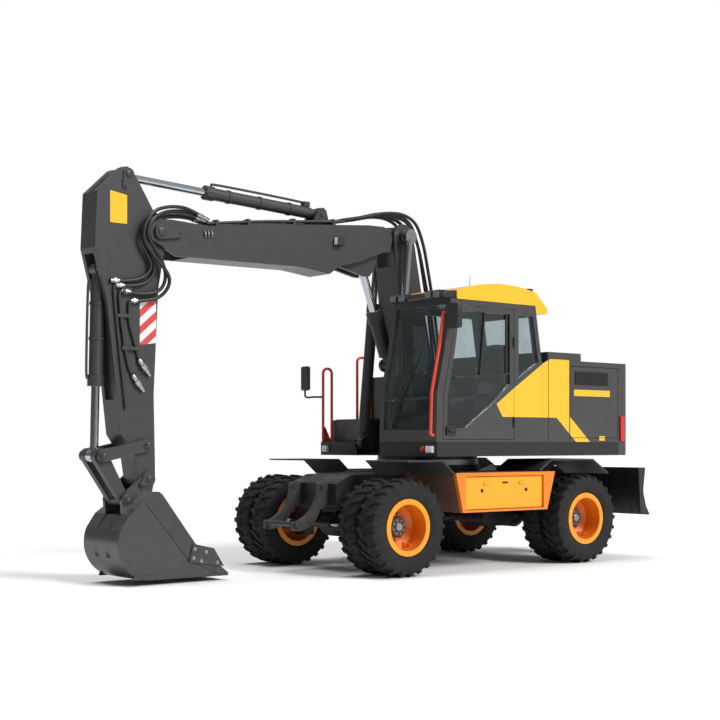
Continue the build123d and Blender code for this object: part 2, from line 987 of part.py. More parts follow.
with BuildPart() as cab_door:
    with BuildSketch(side(body_half - cab_wall / 2)) as leaf:
        with BuildLine():
            Polyline(*door_outline, close=True)
        make_face()
        offset(amount=-door_gap, kind=Kind.INTERSECTION, mode=Mode.REPLACE)
    extrude(leaf.sketch, amount=cab_wall / 2, both=True)
    plate(door_window, body_half - cab_wall / 2, cab_wall + 2, Mode.SUBTRACT)
cab_door.part.label = "cab_door"
export_step(cab_door.part, "parts/cab_door.step")


def pane(outline, y):
    """A sheet of glass in a side window, just smaller than its opening."""
    with BuildSketch(side(y)) as face:
        with BuildLine():
            Polyline(*outline, close=True)
        make_face()
        offset(amount=-seat_gap, kind=Kind.INTERSECTION, mode=Mode.REPLACE)
    extrude(face.sketch, amount=glass_thick / 2, both=True)


with BuildPart() as door_glass:
    pane(door_window, body_half - cab_wall / 2)
door_glass.part.label = "door_glass"
export_step(door_glass.part, "parts/door_glass.step")

front_pane = (
    (998, 1560 + seat_gap),
    (985, 1960),
    (880, 2420),
    (796, 2920 - seat_gap),
)
front_glass_width = front_window_y[1] - front_window_y[0] - 2 * seat_gap
with BuildPart() as cab_glass:
    pane(quarter_window, body_half - cab_wall / 2)
    pane(right_window, cab_inner + cab_wall / 2)
    outer = [(x - 16, z) for x, z in front_pane]
    inner = [(x - 16 - glass_thick, z) for x, z in reversed(front_pane)]
    plate(outer + inner, cab_middle, front_glass_width)
    back = ((cab_rear + 20, 2250 + seat_gap), (cab_rear + 20, 2330), (-561 + 20, 2860 - seat_gap))
    outer = [(x, z) for x, z in back]
    inner = [(x + glass_thick, z) for x, z in reversed(back)]
    plate(outer + inner, cab_middle, cab_width - 180 - 2 * seat_gap)
cab_glass.part.label = "cab_glass"
export_step(cab_glass.part, "parts/cab_glass.step")

# Roof: the raised cap over the cab
beacon_place = (-700, 980)
beacon_seat = 3060
with BuildPart() as cab_roof:
    with BuildSketch(side(cab_middle)) as cap_face:
        with BuildLine():
            Polyline((690, cab_ceiling + seat_gap), (690, 3075))
            ThreePointArc((690, 3075), (80, 3190), (-560, 3130))
            Polyline(
                (-560, 3130),
                (-740, 2960),
                (-740, 2900),
                (-556, 2900),
                (-541, cab_ceiling + seat_gap),
                (690, cab_ceiling + seat_gap),
            )
        make_face()
    extrude(cap_face.sketch, amount=cab_width / 2, both=True)
    block(
        (beacon_place[0] - 55, beacon_place[0] + 55),
        (beacon_place[1] - 50, beacon_place[1] + 50),
        (2950, beacon_seat),
    )
cab_roof.part.label = "cab_roof"
export_step(cab_roof.part, "parts/cab_roof.step")

# Inside the cab: seat base and consoles, the seat, the steering column and wheel
floor_z = deck_top + cab_floor
seat_y = cab_middle
seat_top = floor_z + 480
with BuildPart() as seat_base:
    block((-330, 130), (seat_y - 200, seat_y + 200), (floor_z, seat_top - 130))
    for sign in SIDES.values():
        near = seat_y + sign * 255
        far = seat_y + sign * 365
        block((-250, 280), (near, far), (seat_top + 30, seat_top + 150))
        block((-200, 60), (seat_y + sign * 190, far), (seat_top - 330, seat_top - 200))
        block((-150, 0), (near, far), (seat_top - 201, seat_top + 31))
seat_base.part.label = "seat_base"
export_step(seat_base.part, "parts/seat_base.step")

with BuildPart() as seat:
    block(
        (-300, 210),
        (seat_y - 235, seat_y + 235),
        (seat_top - 130 + seat_gap, seat_top),
    )
    plate(
        (
            (-300, seat_top - 1),
            (-190, seat_top - 1),
            (-290, seat_top + 640),
            (-380, seat_top + 640),
            (-400, seat_top + 560),
        ),
        seat_y,
        440,
    )
seat.part.label = "seat"
export_step(seat.part, "parts/seat.step")

with BuildPart() as steering_column:
    link((620, floor_z + 60), 60, (470, floor_z + 640), 38, seat_y, 90)
    column_axis = Plane(
        origin=(slew_x + 455, seat_y, floor_z + 690),
        x_dir=(0, 1, 0),
        z_dir=(-0.34, 0, 0.94),
    )
    with BuildSketch(column_axis) as rim_face:
        Circle(190)
        Circle(165, mode=Mode.SUBTRACT)
        Rectangle(340, 34)
        Circle(50)
    extrude(rim_face.sketch, amount=24)
    with BuildSketch(column_axis.offset(-60)) as stem:
        Circle(28)
    extrude(stem.sketch, amount=62)
    block((520, 720), (seat_y - 70, seat_y + 70), (floor_z, floor_z + 60))
steering_column.part.label = "steering_column"
export_step(steering_column.part, "parts/steering_column.step")

# Handrails, mirrors, lamps
right_rail_y = -1195


def pipe(path, radius, corner):
    """A bent round bar along these points."""
    with BuildLine() as line:
        FilletPolyline(*path, radius=corner)
    start = line.wire() if hasattr(line, "wire") else line.wires()[0]
    with BuildSketch(Plane(origin=start @ 0, z_dir=start % 0)) as face:
        Circle(radius)
    sweep(face.sketch, path=start)


def at(x, y, z):
    """A point given from the slewing axis."""
    return (slew_x + x, y, z)


with BuildPart() as handrails:
    pipe(
        (
            at(640, right_rail_y, deck_top),
            at(640, right_rail_y, 2330),
            at(505, right_rail_y, 2330),
            at(505, right_rail_y, deck_top),
        ),
        rail_radius,
        60,
    )
    pipe(
        (
            at(160, -1120, box_top),
            at(160, -1120, 2480),
            at(-60, -1120, 2480),
            at(-60, -1120, box_top),
        ),
        rail_radius,
        60,
    )
    pipe(
        (
            at(998.8, 1205, 1500),
            at(1050, 1205, 1500),
            at(1035, 1205, 1960),
            at(930, 1205, 2425),
            at(862, 1205, 2830),
            at(814.2, 1205, 2830),
        ),
        rail_radius,
        30,
    )
handrails.part.label = "handrails"
export_step(handrails.part, "parts/handrails.step")

mirror_reach = body_half + 190
with BuildPart() as mirrors:
    pipe(
        (
            at(745, body_half + seat_gap, 2880),
            at(745, mirror_reach - 90, 2880),
            at(800, mirror_reach - 90, 2880),
        ),
        12,
        20,
    )
    block((785, 865), (mirror_reach - 175, mirror_reach), (2650, 2925))
    pipe(
        (
            at(640 + rail_radius + 0.1, right_rail_y, 1980),
            at(800, right_rail_y, 1980),
            at(800, -mirror_reach + 80, 1980),
            at(800, -mirror_reach + 80, 2200),
        ),
        12,
        30,
    )
    block((770, 815), (-mirror_reach, -mirror_reach + 160), (2060, 2360))
mirrors.part.label = "mirrors"
export_step(mirrors.part, "parts/mirrors.step")

with BuildPart() as lamps:
    block((690 + seat_gap, 800), (cab_inner + 60, body_half - 60), (cab_ceiling + seat_gap, 3040))
    block((body_front, body_front + 28), (1080, 1190), (1310, 1385))
    block((right_front, right_front + 28), (-1180, -1080), (1310, 1385))
    for sign in SIDES.values():
        block(
            (weight_side_rear + 80, weight_side_rear + 150),
            (sign * body_half, sign * (body_half + 20)),
            (1440, 1740),
        )
lamps.part.label = "lamps"
export_step(lamps.part, "parts/lamps.step")

with BuildPart() as beacon:
    with BuildSketch(level(beacon_seat)) as foot:
        with Locations(beacon_place):
            Circle(30)
    extrude(foot.sketch, amount=60)
    with BuildSketch(level(beacon_seat + 60)) as lens:
        with Locations(beacon_place):
            Circle(52)
    extrude(lens.sketch, amount=90)
beacon.part.label = "beacon"
export_step(beacon.part, "parts/beacon.step")

# Base boom: from the foot pin up to the knee, with the knee's cheeks and pin
cheek = 45
knee_lug_half = boom_half - cheek - ear_gap
with BuildPart() as base_boom:
    disc(boom_foot, 120, boom_y, boom_half * 2)
    plate(
        (
            (0, 1850),
            (-40, 2350),
            (130, 3100),
            (270, 3800),
            (570, 3770),
            (490, 3100),
            (385, 2350),
            (215, 1850),
        ),
        boom_y,
        boom_half * 2,
    )
    disc(boom_knee, 155, boom_y, boom_half * 2)
    block(
        (100, 800),
        (boom_y - boom_half + cheek, boom_y + boom_half - cheek),
        (boom_knee[1] - 330, 4100),
        Mode.SUBTRACT,
    )
    disc(boom_knee, main_pin, boom_y, boom_half * 2 + 70)
    disc(boom_foot, main_pin + pin_gap, boom_y, boom_half * 2 + 2, Mode.SUBTRACT)
    for ear in (-1, 1):
        ear_y = boom_y + ear * (eye_half + ear_gap + ear_thick / 2)
        link((300, 2330), 110, adjust_base_pin, 75, ear_y, ear_thick)
    disc(adjust_base_pin, cylinder_pin, boom_y, 2 * (eye_half + ear_gap + ear_thick) + 20)
base_boom.part.label = "base_boom"
export_step(base_boom.part, "parts/base_boom.step")

lift_length = 1655
with BuildPart() as lift_barrels:
    for sign in (-1, 1):
        barrel(
            lift_base_pin,
            boom_knee,
            boom_y + sign * lift_offset,
            lift_barrel,
            lift_rod,
            lift_length,
            790,
            cylinder_pin,
            eye_half - 15,
        )
lift_barrels.part.label = "lift_barrels"
export_step(lift_barrels.part, "parts/lift_barrels.step")

with BuildPart() as lift_rods:
    for sign in (-1, 1):
        rod(
            lift_base_pin,
            boom_knee,
            boom_y + sign * lift_offset,
            lift_rod,
            lift_length - 120,
            42,
            40,
        )
lift_rods.part.label = "lift_rods"
export_step(lift_rods.part, "parts/lift_rods.step")

# Upper boom: box section from the knee lug to the forked tip
tip_slot = 420
boom_outline = (
    (636, 3620),
    (598, 3780),
    (640, 3880),
    (740, 3905),
    (960, 3900),
    (2340, 3770),
    (3120, 3670),
    (3560, 3690),
    (3700, 3680),
    (3805, 3625),
    (3830, 3540),
    (3790, 3460),
    (3700, 3418),
    (3515, 3323),
    (1910, 3345),
    (1520, 3300),
    (1376, 3400),
    (1060, 3480),
    (724, 3613),
)
with BuildPart() as upper_boom:
    plate(boom_outline, boom_y, boom_half * 2)
    disc(
        arm_pivot,
        tip_slot,
        boom_y,
        2 * (arm_half + ear_gap),
        Mode.SUBTRACT,
    )
    link(boom_knee, 130, (760, 3760), 130, boom_y, 2 * knee_lug_half)
    disc(boom_knee, main_pin + pin_gap, boom_y, boom_half * 2, Mode.SUBTRACT)
    disc(arm_pivot, main_pin, boom_y, boom_half * 2 + 50)
    for ear in (-1, 1):
        ear_y = boom_y + ear * (eye_half + ear_gap + ear_thick / 2)
        plate(
            ((700, 3650), (830, 3380), (870, 3330), (960, 3330), (1380, 3420), (1200, 3500)),
            ear_y,
            ear_thick,
        )
        plate(
            ((1440, 3830), (1500, 4020), (1540, 4050), (1600, 4030), (1720, 3810)),
            ear_y,
            ear_thick,
        )
    disc(arm_base_pin, cylinder_pin, boom_y, 2 * (eye_half + ear_gap + ear_thick) + 20)
upper_boom.part.label = "upper_boom"
export_step(upper_boom.part, "parts/upper_boom.step")

adjust_length = 655
with BuildPart() as adjust_barrel_part:
    barrel(
        adjust_base_pin,
        adjust_eye_pin,
        boom_y,
        adjust_barrel,
        adjust_rod,
        adjust_length,
        540,
        cylinder_pin,
        eye_half,
    )
adjust_barrel_part.part.label = "adjust_barrel"
export_step(adjust_barrel_part.part, "parts/adjust_barrel.step")

with BuildPart() as adjust_rod_part:
    rod(
        adjust_base_pin,
        adjust_eye_pin,
        boom_y,
        adjust_rod,
        adjust_length - 320,
        32,
        eye_half,
    )
adjust_rod_part.part.label = "adjust_rod"
export_step(adjust_rod_part.part, "parts/adjust_rod.step")

# Arm: tapered box from the ears of its cylinder down to the bucket pin
arm_outline = (
    (3620, 3420),
    (3570, 3500),
    (3560, 3600),
    (3620, 3690),
    (3760, 3770),
    (3945, 4070),
    (4047, 4175),
    (4120, 4160),
    (4390, 3900),
    (4415, 3344),
    (4280, 2810),
    (4126, 1500),
    (3960, 1260),
    (3920, 1000),
    (3838, 945),
    (3755, 990),
    (3735, 1100),
    (3753, 1905),
    (3700, 2970),
)
arm_slot_half = 65
arm_groove_half = 95
with BuildPart() as arm:
    plate(arm_outline, boom_y, arm_half * 2)
    plate(
        ((3480, 3560), (4040, 3885), (4600, 3885), (4600, 4400), (3480, 4400)),
        boom_y,
        2 * arm_slot_half,
        Mode.SUBTRACT,
    )
    plate(
        ((4220, 3290), (4500, 3290), (4500, 1850), (4130, 1850)),
        boom_y,
        2 * arm_groove_half,
        Mode.SUBTRACT,
    )
    disc(arm_pivot, main_pin + pin_gap, boom_y, arm_half * 2 + 2, Mode.SUBTRACT)
    disc(bucket_pivot, main_pin + pin_gap, boom_y, arm_half * 2 + 2, Mode.SUBTRACT)
    for ear in (-1, 1):
        ear_y = boom_y + ear * (eye_half + ear_gap + 15)
        link((4220, 3200), 90, bucket_base_pin, 60, ear_y, 30)
    disc(bucket_base_pin, cylinder_pin, boom_y, 2 * (eye_half + ear_gap + 30) + 10)
    disc(guide_pivot, cylinder_pin, boom_y, 2 * arm_half + 110)
arm.part.label = "arm"
export_step(arm.part, "parts/arm.step")

arm_length = 1500
with BuildPart() as arm_barrel_part:
    barrel(
        arm_base_pin,
        arm_eye_pin,
        boom_y,
        arm_barrel,
        arm_rod,
        arm_length,
        1365,
        cylinder_pin,
        eye_half,
    )
arm_barrel_part.part.label = "arm_barrel"
export_step(arm_barrel_part.part, "parts/arm_barrel.step")

with BuildPart() as arm_rod_part:
    rod(
        arm_base_pin,
        arm_eye_pin,
        boom_y,
        arm_rod,
        arm_length - 470,
        36,
        eye_half,
    )
arm_rod_part.part.label = "arm_rod"
export_step(arm_rod_part.part, "parts/arm_rod.step")

# Bucket cylinder in front of the arm
bucket_length = 1170
with BuildPart() as bucket_barrel_part:
    barrel(
        bucket_base_pin,
        rod_pin,
        boom_y,
        bucket_barrel,
        bucket_rod,
        bucket_length,
        790,
        cylinder_pin,
        eye_half,
    )
bucket_barrel_part.part.label = "bucket_barrel"
export_step(bucket_barrel_part.part, "parts/bucket_barrel.step")

with BuildPart() as bucket_rod_part:
    rod(
        bucket_base_pin,
        rod_pin,
        boom_y,
        bucket_rod,
        bucket_length - 470,
        36,
        eye_half,
    )
bucket_rod_part.part.label = "bucket_rod"
export_step(bucket_rod_part.part, "parts/bucket_rod.step")

# Guide links beside the arm, and the link down to the bucket
guide_y = arm_half + move_gap + 25
guide_end = 60
with BuildPart() as guide_links:
    for sign in (-1, 1):
        y = boom_y + sign * guide_y
        link(guide_pivot, guide_end, rod_pin, guide_end, y, 50)
        disc(guide_pivot, cylinder_pin + pin_gap, y, 52, Mode.SUBTRACT)
        inner_end = eye_half + 8
        outer_end = guide_y + 25
        stub_y = boom_y + sign * (inner_end + outer_end) / 2
        disc(rod_pin, cylinder_pin, stub_y, outer_end - inner_end)
guide_links.part.label = "guide_links"
export_step(guide_links.part, "parts/guide_links.step")

link_half = arm_half - 4
link_end = 50
with BuildPart() as bucket_link:
    for sign in (-1, 1):
        y = boom_y + sign * (eye_half + 12 + link_half) / 2
        wide = link_half - eye_half - 12
        link(rod_pin, link_boss, bucket_link_pin, link_end, y, wide)
        disc(rod_pin, cylinder_pin + pin_gap, y, wide + 2, Mode.SUBTRACT)
    disc(bucket_link_pin, link_end, boom_y, 2 * link_half)
bucket_link.part.label = "bucket_link"
export_step(bucket_link.part, "parts/bucket_link.step")

# Bucket: wrapper plate, side plates, ears with the pins, and the cutting lip
bucket_wall = 25
ear_inner = arm_half + 5
ear_hub = 74
lip_tip = (2985, 48)


def bucket_shell(thick):
    """The bucket's side outline, moved in by this wall thickness where the wrapper runs."""
    with BuildSketch(side(boom_y)) as face:
        with BuildLine():
            Line((3800 - (thick and 40), 930 - (thick and 30)), (3390 - thick, 389 + thick))
            Line((3390 - thick, 389 + thick), (lip_tip[0] - thick, lip_tip[1] + 30 + thick))
            Line(
                (lip_tip[0] - thick, lip_tip[1] + 30 + thick),
                (lip_tip[0] - thick, lip_tip[1] + thick * 1.6),
            )
            Line((lip_tip[0] - thick, lip_tip[1] + thick * 1.6), (3950, 52 + thick))
            ThreePointArc(
                (3950, 52 + thick),
                (4262 - thick, 330),
                (4245 - thick, 560),
            )
            Polyline(
                (4245 - thick, 560),
                (4145 - thick, 704 - thick / 2),
                (4020, 790 - thick),
                (3850, 900 - thick),
                (3800 - (thick and 40), 930 - (thick and 30)),
            )
        make_face()
    return face.sketch


with BuildPart() as bucket:
    extrude(bucket_shell(0), amount=bucket_half, both=True)
    extrude(bucket_shell(bucket_wall), amount=bucket_half - bucket_wall, both=True, mode=Mode.SUBTRACT)
    # A dip in the wrapper between the ears lets the link's end swing down
    plate(
        ((3830, 905), (3960, 800), (4150, 700), (4150, 662), (4040, 680), (3945, 738), (3828, 878)),
        boom_y,
        2 * (link_half + move_gap + bucket_wall),
    )
    plate(
        ((3860, 900), (3965, 765), (4045, 706), (4140, 690), (4145, 760), (4000, 860)),
        boom_y,
        2 * (link_half + move_gap),
        Mode.SUBTRACT,
    )
    for sign in (-1, 1):
        y = boom_y + sign * (ear_inner + 20)
        link(bucket_pivot, ear_hub, bucket_link_pin, 68, y, 40)
        plate(((3780, 1000), (3800, 915), (4130, 700), (4145, 850), (4000, 900)), y, 40)
        disc(bucket_pivot, ear_hub, boom_y + sign * (ear_inner + 25), 50)
        disc(bucket_link_pin, 62, boom_y + sign * (ear_inner + 25), 50)
    disc(bucket_pivot, main_pin, boom_y, 2 * (ear_inner + 50))
bucket.part.label = "bucket"
export_step(bucket.part, "parts/bucket.step")
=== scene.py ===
import bpy
import math
from mathutils import Matrix, Vector


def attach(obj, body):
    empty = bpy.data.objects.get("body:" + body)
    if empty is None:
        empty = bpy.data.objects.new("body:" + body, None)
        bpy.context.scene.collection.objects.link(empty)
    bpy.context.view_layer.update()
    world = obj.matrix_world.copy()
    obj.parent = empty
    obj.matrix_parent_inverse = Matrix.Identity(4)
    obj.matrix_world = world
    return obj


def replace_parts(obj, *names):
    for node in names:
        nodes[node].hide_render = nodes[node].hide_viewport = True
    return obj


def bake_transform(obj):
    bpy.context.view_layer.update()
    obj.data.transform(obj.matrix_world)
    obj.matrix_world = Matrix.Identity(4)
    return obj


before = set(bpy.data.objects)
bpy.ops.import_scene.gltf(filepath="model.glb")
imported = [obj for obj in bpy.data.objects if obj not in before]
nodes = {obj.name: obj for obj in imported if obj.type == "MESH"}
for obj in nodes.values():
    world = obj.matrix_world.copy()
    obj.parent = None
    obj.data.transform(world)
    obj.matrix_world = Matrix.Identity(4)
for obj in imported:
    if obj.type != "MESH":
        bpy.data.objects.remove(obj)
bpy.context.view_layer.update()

# The slewing axis lies this far along X, and the middle planes of boom and cab this far along Y
SLEW_X = -0.929
BOOM_Y = -0.13
CAB_Y = 0.77
# The axles lie this far before and behind the slewing axis, one tyre radius above the ground
AXLE_X = 1.4
TYRE_RADIUS = 0.525
# The flat sides of cab and body lie this far from the middle
BODY_SIDE = 1.24
SIDES = {"left": 1, "right": -1}
# A turned form's tip keeps this radius, so that its faces have a width
LEAST_RADIUS = 0.0002


def at(x, y, z):
    """A point in the row frame, given from the slewing axis."""
    return Vector((x + SLEW_X, y, z))


def route(*places):
    """Points in the row frame, given from the slewing axis."""
    return [at(*place) for place in places]


def upright(places, y):
    """Points given by X and Z, in the upright plane at this y."""
    return [at(x, y, z) for x, z in places]


def placed(name, data):
    """A new object in the scene."""
    item = bpy.data.objects.new(name, data)
    bpy.context.scene.collection.objects.link(item)
    return item


def counter_clockwise(outline):
    """The outline's points in the order that runs counter-clockwise."""
    area = sum(p[0] * q[1] - q[0] * p[1] for p, q in zip(outline, outline[1:] + outline[:1]))
    return list(outline) if area > 0 else list(reversed(outline))


def circle(centre, axis, radius, count, phase=0.0):
    """Evenly spaced points on a circle round this unit axis."""
    first = axis.orthogonal().normalized()
    second = axis.cross(first)
    angles = (2 * math.pi * k / count + phase for k in range(count))
    return [centre + (first * math.cos(a) + second * math.sin(a)) * radius for a in angles]


def tube_faces(rows, sides, ring=False):
    """Faces over rows of points: capped at both ends, or closed on itself as a ring."""
    faces = []
    for i in range(rows if ring else rows - 1):
        near, far = i * sides, (i + 1) % rows * sides
        for k in range(sides):
            j = (k + 1) % sides
            faces.append((near + k, near + j, far + j, far + k))
    if not ring:
        faces.append(list(reversed(range(sides))))
        faces.append(list(range((rows - 1) * sides, rows * sides)))
    return faces


def shade(colour, factor):
    """This colour, darker or lighter."""
    return tuple(min(1.0, c * factor) for c in colour)


# Materials


class Finish:
    """A procedural material: a Principled shader with helpers for its colour, wear and bump."""

    def __init__(self, name, roughness=0.5, metallic=0.0):
        self.material = bpy.data.materials.new(name)
        self.material.use_nodes = True
        self.tree = self.material.node_tree
        self.tree.nodes.clear()
        self.output = self.add("ShaderNodeOutputMaterial")
        self.shader = self.add("ShaderNodeBsdfPrincipled")
        self.shader.inputs["Roughness"].default_value = roughness
        self.shader.inputs["Metallic"].default_value = metallic
        self.join(self.shader.outputs[0], self.output.inputs["Surface"])
        self.place = self.add("ShaderNodeTexCoord")
        self.here = self.place.outputs["Object"]

    def add(self, kind):
        return self.tree.nodes.new(kind)

    def join(self, source, target):
        self.tree.links.new(source, target)

    def put(self, socket, value):
        if isinstance(value, bpy.types.NodeSocket):
            self.join(value, socket)
        else:
            socket.default_value = value

    def math(self, operation, first, second=0.0, third=0.0, clamp=False):
        node = self.add("ShaderNodeMath")
        node.operation = operation
        node.use_clamp = clamp
        self.put(node.inputs[0], first)
        self.put(node.inputs[1], second)
        self.put(node.inputs[2], third)
        return node.outputs[0]

    def noise(self, scale, detail=3.0, roughness=0.55, stretch=None):
        node = self.add("ShaderNodeTexNoise")
        node.inputs["Scale"].default_value = scale
        node.inputs["Detail"].default_value = detail
        node.inputs["Roughness"].default_value = roughness
        where = self.here
        if stretch:
            mapping = self.add("ShaderNodeMapping")
            mapping.inputs["Scale"].default_value = stretch
            self.join(where, mapping.inputs["Vector"])
            where = mapping.outputs[0]
        self.join(where, node.inputs["Vector"])
        return node.outputs["Fac"]

    def ramp(self, value, low, high):
        """Value carried from low..high to 0..1, smoothly."""
        node = self.add("ShaderNodeMapRange")
        node.interpolation_type = "SMOOTHSTEP"
        self.join(value, node.inputs["Value"])
        node.inputs["From Min"].default_value = low
        node.inputs["From Max"].default_value = high
        return node.outputs["Result"]

    def mix(self, share, first, second):
        node = self.add("ShaderNodeMix")
        node.data_type = "RGBA"
        self.put(node.inputs[0], share)
        for socket, value in ((node.inputs[6], first), (node.inputs[7], second)):
            self.put(socket, value if isinstance(value, bpy.types.NodeSocket) else (*value, 1.0))
        return node.outputs[2]

    def axis(self, index):
        if not hasattr(self, "split"):
            self.split = self.add("ShaderNodeSeparateXYZ")
            self.join(self.here, self.split.inputs[0])
        return self.split.outputs[index]

    def facing_up(self):
        node = self.add("ShaderNodeSeparateXYZ")
        self.join(self.place.outputs["Normal"], node.inputs[0])
        return node.outputs[2]

    def inside(self, outline):
        """1 inside this convex outline of X and Z, given from the slewing axis, and 0 outside it."""
        points = [(x + SLEW_X, z) for x, z in counter_clockwise(outline)]
        least = None
        for (px, pz), (qx, qz) in zip(points, points[1:] + points[:1]):
            length = math.hypot(qx - px, qz - pz)
            a, b = -(qz - pz) / length, (qx - px) / length
            value = self.math("MULTIPLY_ADD", self.axis(0), a, -(a * px + b * pz))
            value = self.math("MULTIPLY_ADD", self.axis(2), b, value)
            least = value if least is None else self.math("MINIMUM", least, value)
        return self.math("GREATER_THAN", least, 0.0)

    def bump(self, height, strength, distance, soften=0.0):
        node = self.add("ShaderNodeBump")
        node.inputs["Strength"].default_value = strength
        node.inputs["Distance"].default_value = distance
        self.join(height, node.inputs["Height"])
        if soften:
            bevel = self.add("ShaderNodeBevel")
            bevel.samples = 4
            bevel.inputs["Radius"].default_value = soften
            self.join(bevel.outputs[0], node.inputs["Normal"])
        self.join(node.outputs[0], self.shader.inputs["Normal"])

    def tint(self, colour):
        self.join(colour, self.shader.inputs["Base Color"])

    def roughen(self, pattern, vary, least):
        """Roughness that follows this pattern, from its least value up."""
        self.join(self.math("MULTIPLY_ADD", pattern, vary, least), self.shader.inputs["Roughness"])


CHARCOAL = (0.034, 0.033, 0.033)
DARK = (0.042, 0.041, 0.042)
BLACK = (0.006, 0.006, 0.0065)
YELLOW = (0.87, 0.46, 0.015)
ORANGE = (0.93, 0.32, 0.006)
RED = (0.68, 0.055, 0.018)
DUST = (0.42, 0.36, 0.29)


def dusted(finish, colour, dust, high=1.3):
    """This colour with dust on what faces up, and more of it from this height down."""
    up = finish.ramp(finish.facing_up(), 0.2, 0.95)
    patch = finish.ramp(finish.noise(5.0, 5.0), 0.42, 0.75)
    ground = finish.ramp(finish.axis(2), high, 0.0)
    share = finish.math("MULTIPLY", up, patch)
    near = finish.math("MULTIPLY", ground, finish.ramp(finish.noise(14.0, 4.0), 0.35, 0.8))
    share = finish.math("MAXIMUM", share, near)
    share = finish.math("MULTIPLY", share, dust)
    return finish.mix(share, colour, DUST)


def paint(name, colour, roughness, dust, vary=0.14, yellow_areas=(), coat=0.0, soften=0.004):
    """Sprayed paint: slight colour changes, dust, orange peel and rounded edges."""
    finish = Finish(name, roughness)
    base = finish.mix(finish.noise(2.3, 4.0), shade(colour, 1 - vary), shade(colour, 1 + vary * 0.6))
    for outline in yellow_areas:
        tone = finish.mix(finish.noise(2.9, 3.0), shade(YELLOW, 0.94), shade(YELLOW, 1.04))
        outside = finish.math("GREATER_THAN", finish.math("ABSOLUTE", finish.axis(1)), BODY_SIDE - 0.05)
        base = finish.mix(finish.math("MULTIPLY", finish.inside(outline), outside), base, tone)
    scuff = finish.math("MULTIPLY", finish.ramp(finish.noise(38.0, 6.0, 0.7), 0.66, 0.8), 0.35)
    base = finish.mix(scuff, base, tuple(min(1, c * 1.5 + 0.02) for c in colour))
    finish.tint(dusted(finish, base, dust))
    finish.roughen(finish.noise(9.0, 4.0), 0.2, roughness - 0.1)
    if coat:
        finish.shader.inputs["Coat Weight"].default_value = coat
        finish.shader.inputs["Coat Roughness"].default_value = 0.12
    finish.bump(finish.noise(420.0, 2.0), 0.1, 0.0006, soften)
    return finish


# The yellow fields on the body's sides, as outlines of X and Z
side_yellow = [
    [(0.086, 1.852), (-0.195, 2.036), (-0.673, 2.333), (-0.796, 2.388), (-1.12, 2.388), (-1.12, 1.71),
     (-0.01, 1.71)],
    [(-0.898, 1.712), (-1.12, 1.73), (-1.482, 1.43), (-1.234, 1.43)],
    [(-1.20, 1.97), (-1.84, 1.97), (-1.84, 2.045), (-1.20, 2.045)],
    [(-1.65, 1.445), (-1.75, 1.445), (-1.75, 1.50), (-1.65, 1.50)],
]
charcoal = paint("charcoal_paint", CHARCOAL, 0.42, 0.05)
bucket_paint = paint("bucket_paint", CHARCOAL, 0.36, 0.03, coat=0.2)
lid_paint = paint("lid_paint", (0.92, 0.36, 0.008), 0.36, 0.03, vary=0.06)
body_dark = paint("body_paint", DARK, 0.36, 0.06, yellow_areas=side_yellow, coat=0.25)
panel_dark = paint("panel_paint", DARK, 0.36, 0.06, coat=0.25)
black = paint("black_paint", BLACK, 0.5, 0.14)
yellow = paint("yellow_paint", YELLOW, 0.32, 0.03, vary=0.05, coat=0.25)
orange = paint("orange_paint", ORANGE, 0.34, 0.08, vary=0.07, coat=0.3)
red = paint("red_paint", RED, 0.32, 0.03, vary=0.08, coat=0.4, soften=0)
grey = paint("grey_paint", (0.030, 0.030, 0.031), 0.5, 0.12)
# The rims' dark hub reaches this radius, and their deeper orange fades out between these
HUB_RADIUS = 0.1135
RIM_FADE = (0.24, 0.262)


def rim_finish():
    """Orange rims with their dark hubs, by the distance from the wheel's axis."""
    finish = Finish("rim_paint", 0.36)
    fore = finish.math("ABSOLUTE", finish.math("SUBTRACT", finish.axis(0), SLEW_X))
    gather = finish.add("ShaderNodeCombineXYZ")
    finish.join(finish.math("SUBTRACT", fore, AXLE_X), gather.inputs[0])
    finish.join(finish.math("SUBTRACT", finish.axis(2), TYRE_RADIUS), gather.inputs[2])
    offset = finish.add("ShaderNodeVectorMath")
    offset.operation = "LENGTH"
    finish.join(gather.outputs[0], offset.inputs[0])
    radius = offset.outputs["Value"]
    tone = finish.mix(finish.noise(6.0, 4.0), shade(ORANGE, 0.9), ORANGE)
    lip = finish.mix(finish.ramp(radius, *RIM_FADE), (0.80, 0.19, 0.006), tone)
    base = finish.mix(finish.math("LESS_THAN", radius, HUB_RADIUS), lip, (0.035, 0.03, 0.03))
    finish.tint(dusted(finish, base, 0.1, 0.9))
    finish.roughen(finish.noise(12.0), 0.2, 0.28)
    finish.bump(finish.noise(300.0, 2.0), 0.08, 0.0006, 0.004)
    return finish


rim_paint = rim_finish()


def rubber_finish():
    """Tyre rubber: dark, matte, a little dust in the tread and on the walls."""
    finish = Finish("tyre_rubber", 0.82)
    base = finish.mix(finish.noise(7.0, 5.0), (0.006, 0.006, 0.0065), (0.016, 0.016, 0.017))
    dust = finish.math("MULTIPLY", finish.ramp(finish.noise(22.0, 5.0, 0.7), 0.45, 0.85), 0.16)
    base = finish.mix(dust, base, (0.11, 0.105, 0.1))
    finish.tint(base)
    finish.shader.inputs["Specular IOR Level"].default_value = 0.35
    finish.bump(finish.noise(160.0, 4.0), 0.25, 0.0012)
    return finish


tyre_rubber = rubber_finish()


def simple(name, low, high, roughness, metallic=0.0, grain=60.0, bump=0.06, rough_vary=0.12):
    """A finish with two close tones and a fine surface."""
    finish = Finish(name, roughness, metallic)
    finish.tint(finish.mix(finish.noise(grain, 4.0, 0.6), low, high))
    finish.roughen(finish.noise(grain * 0.4, 3.0), rough_vary, roughness - rough_vary / 2)
    finish.bump(finish.noise(grain * 5, 2.0), bump, 0.0008)
    return finish


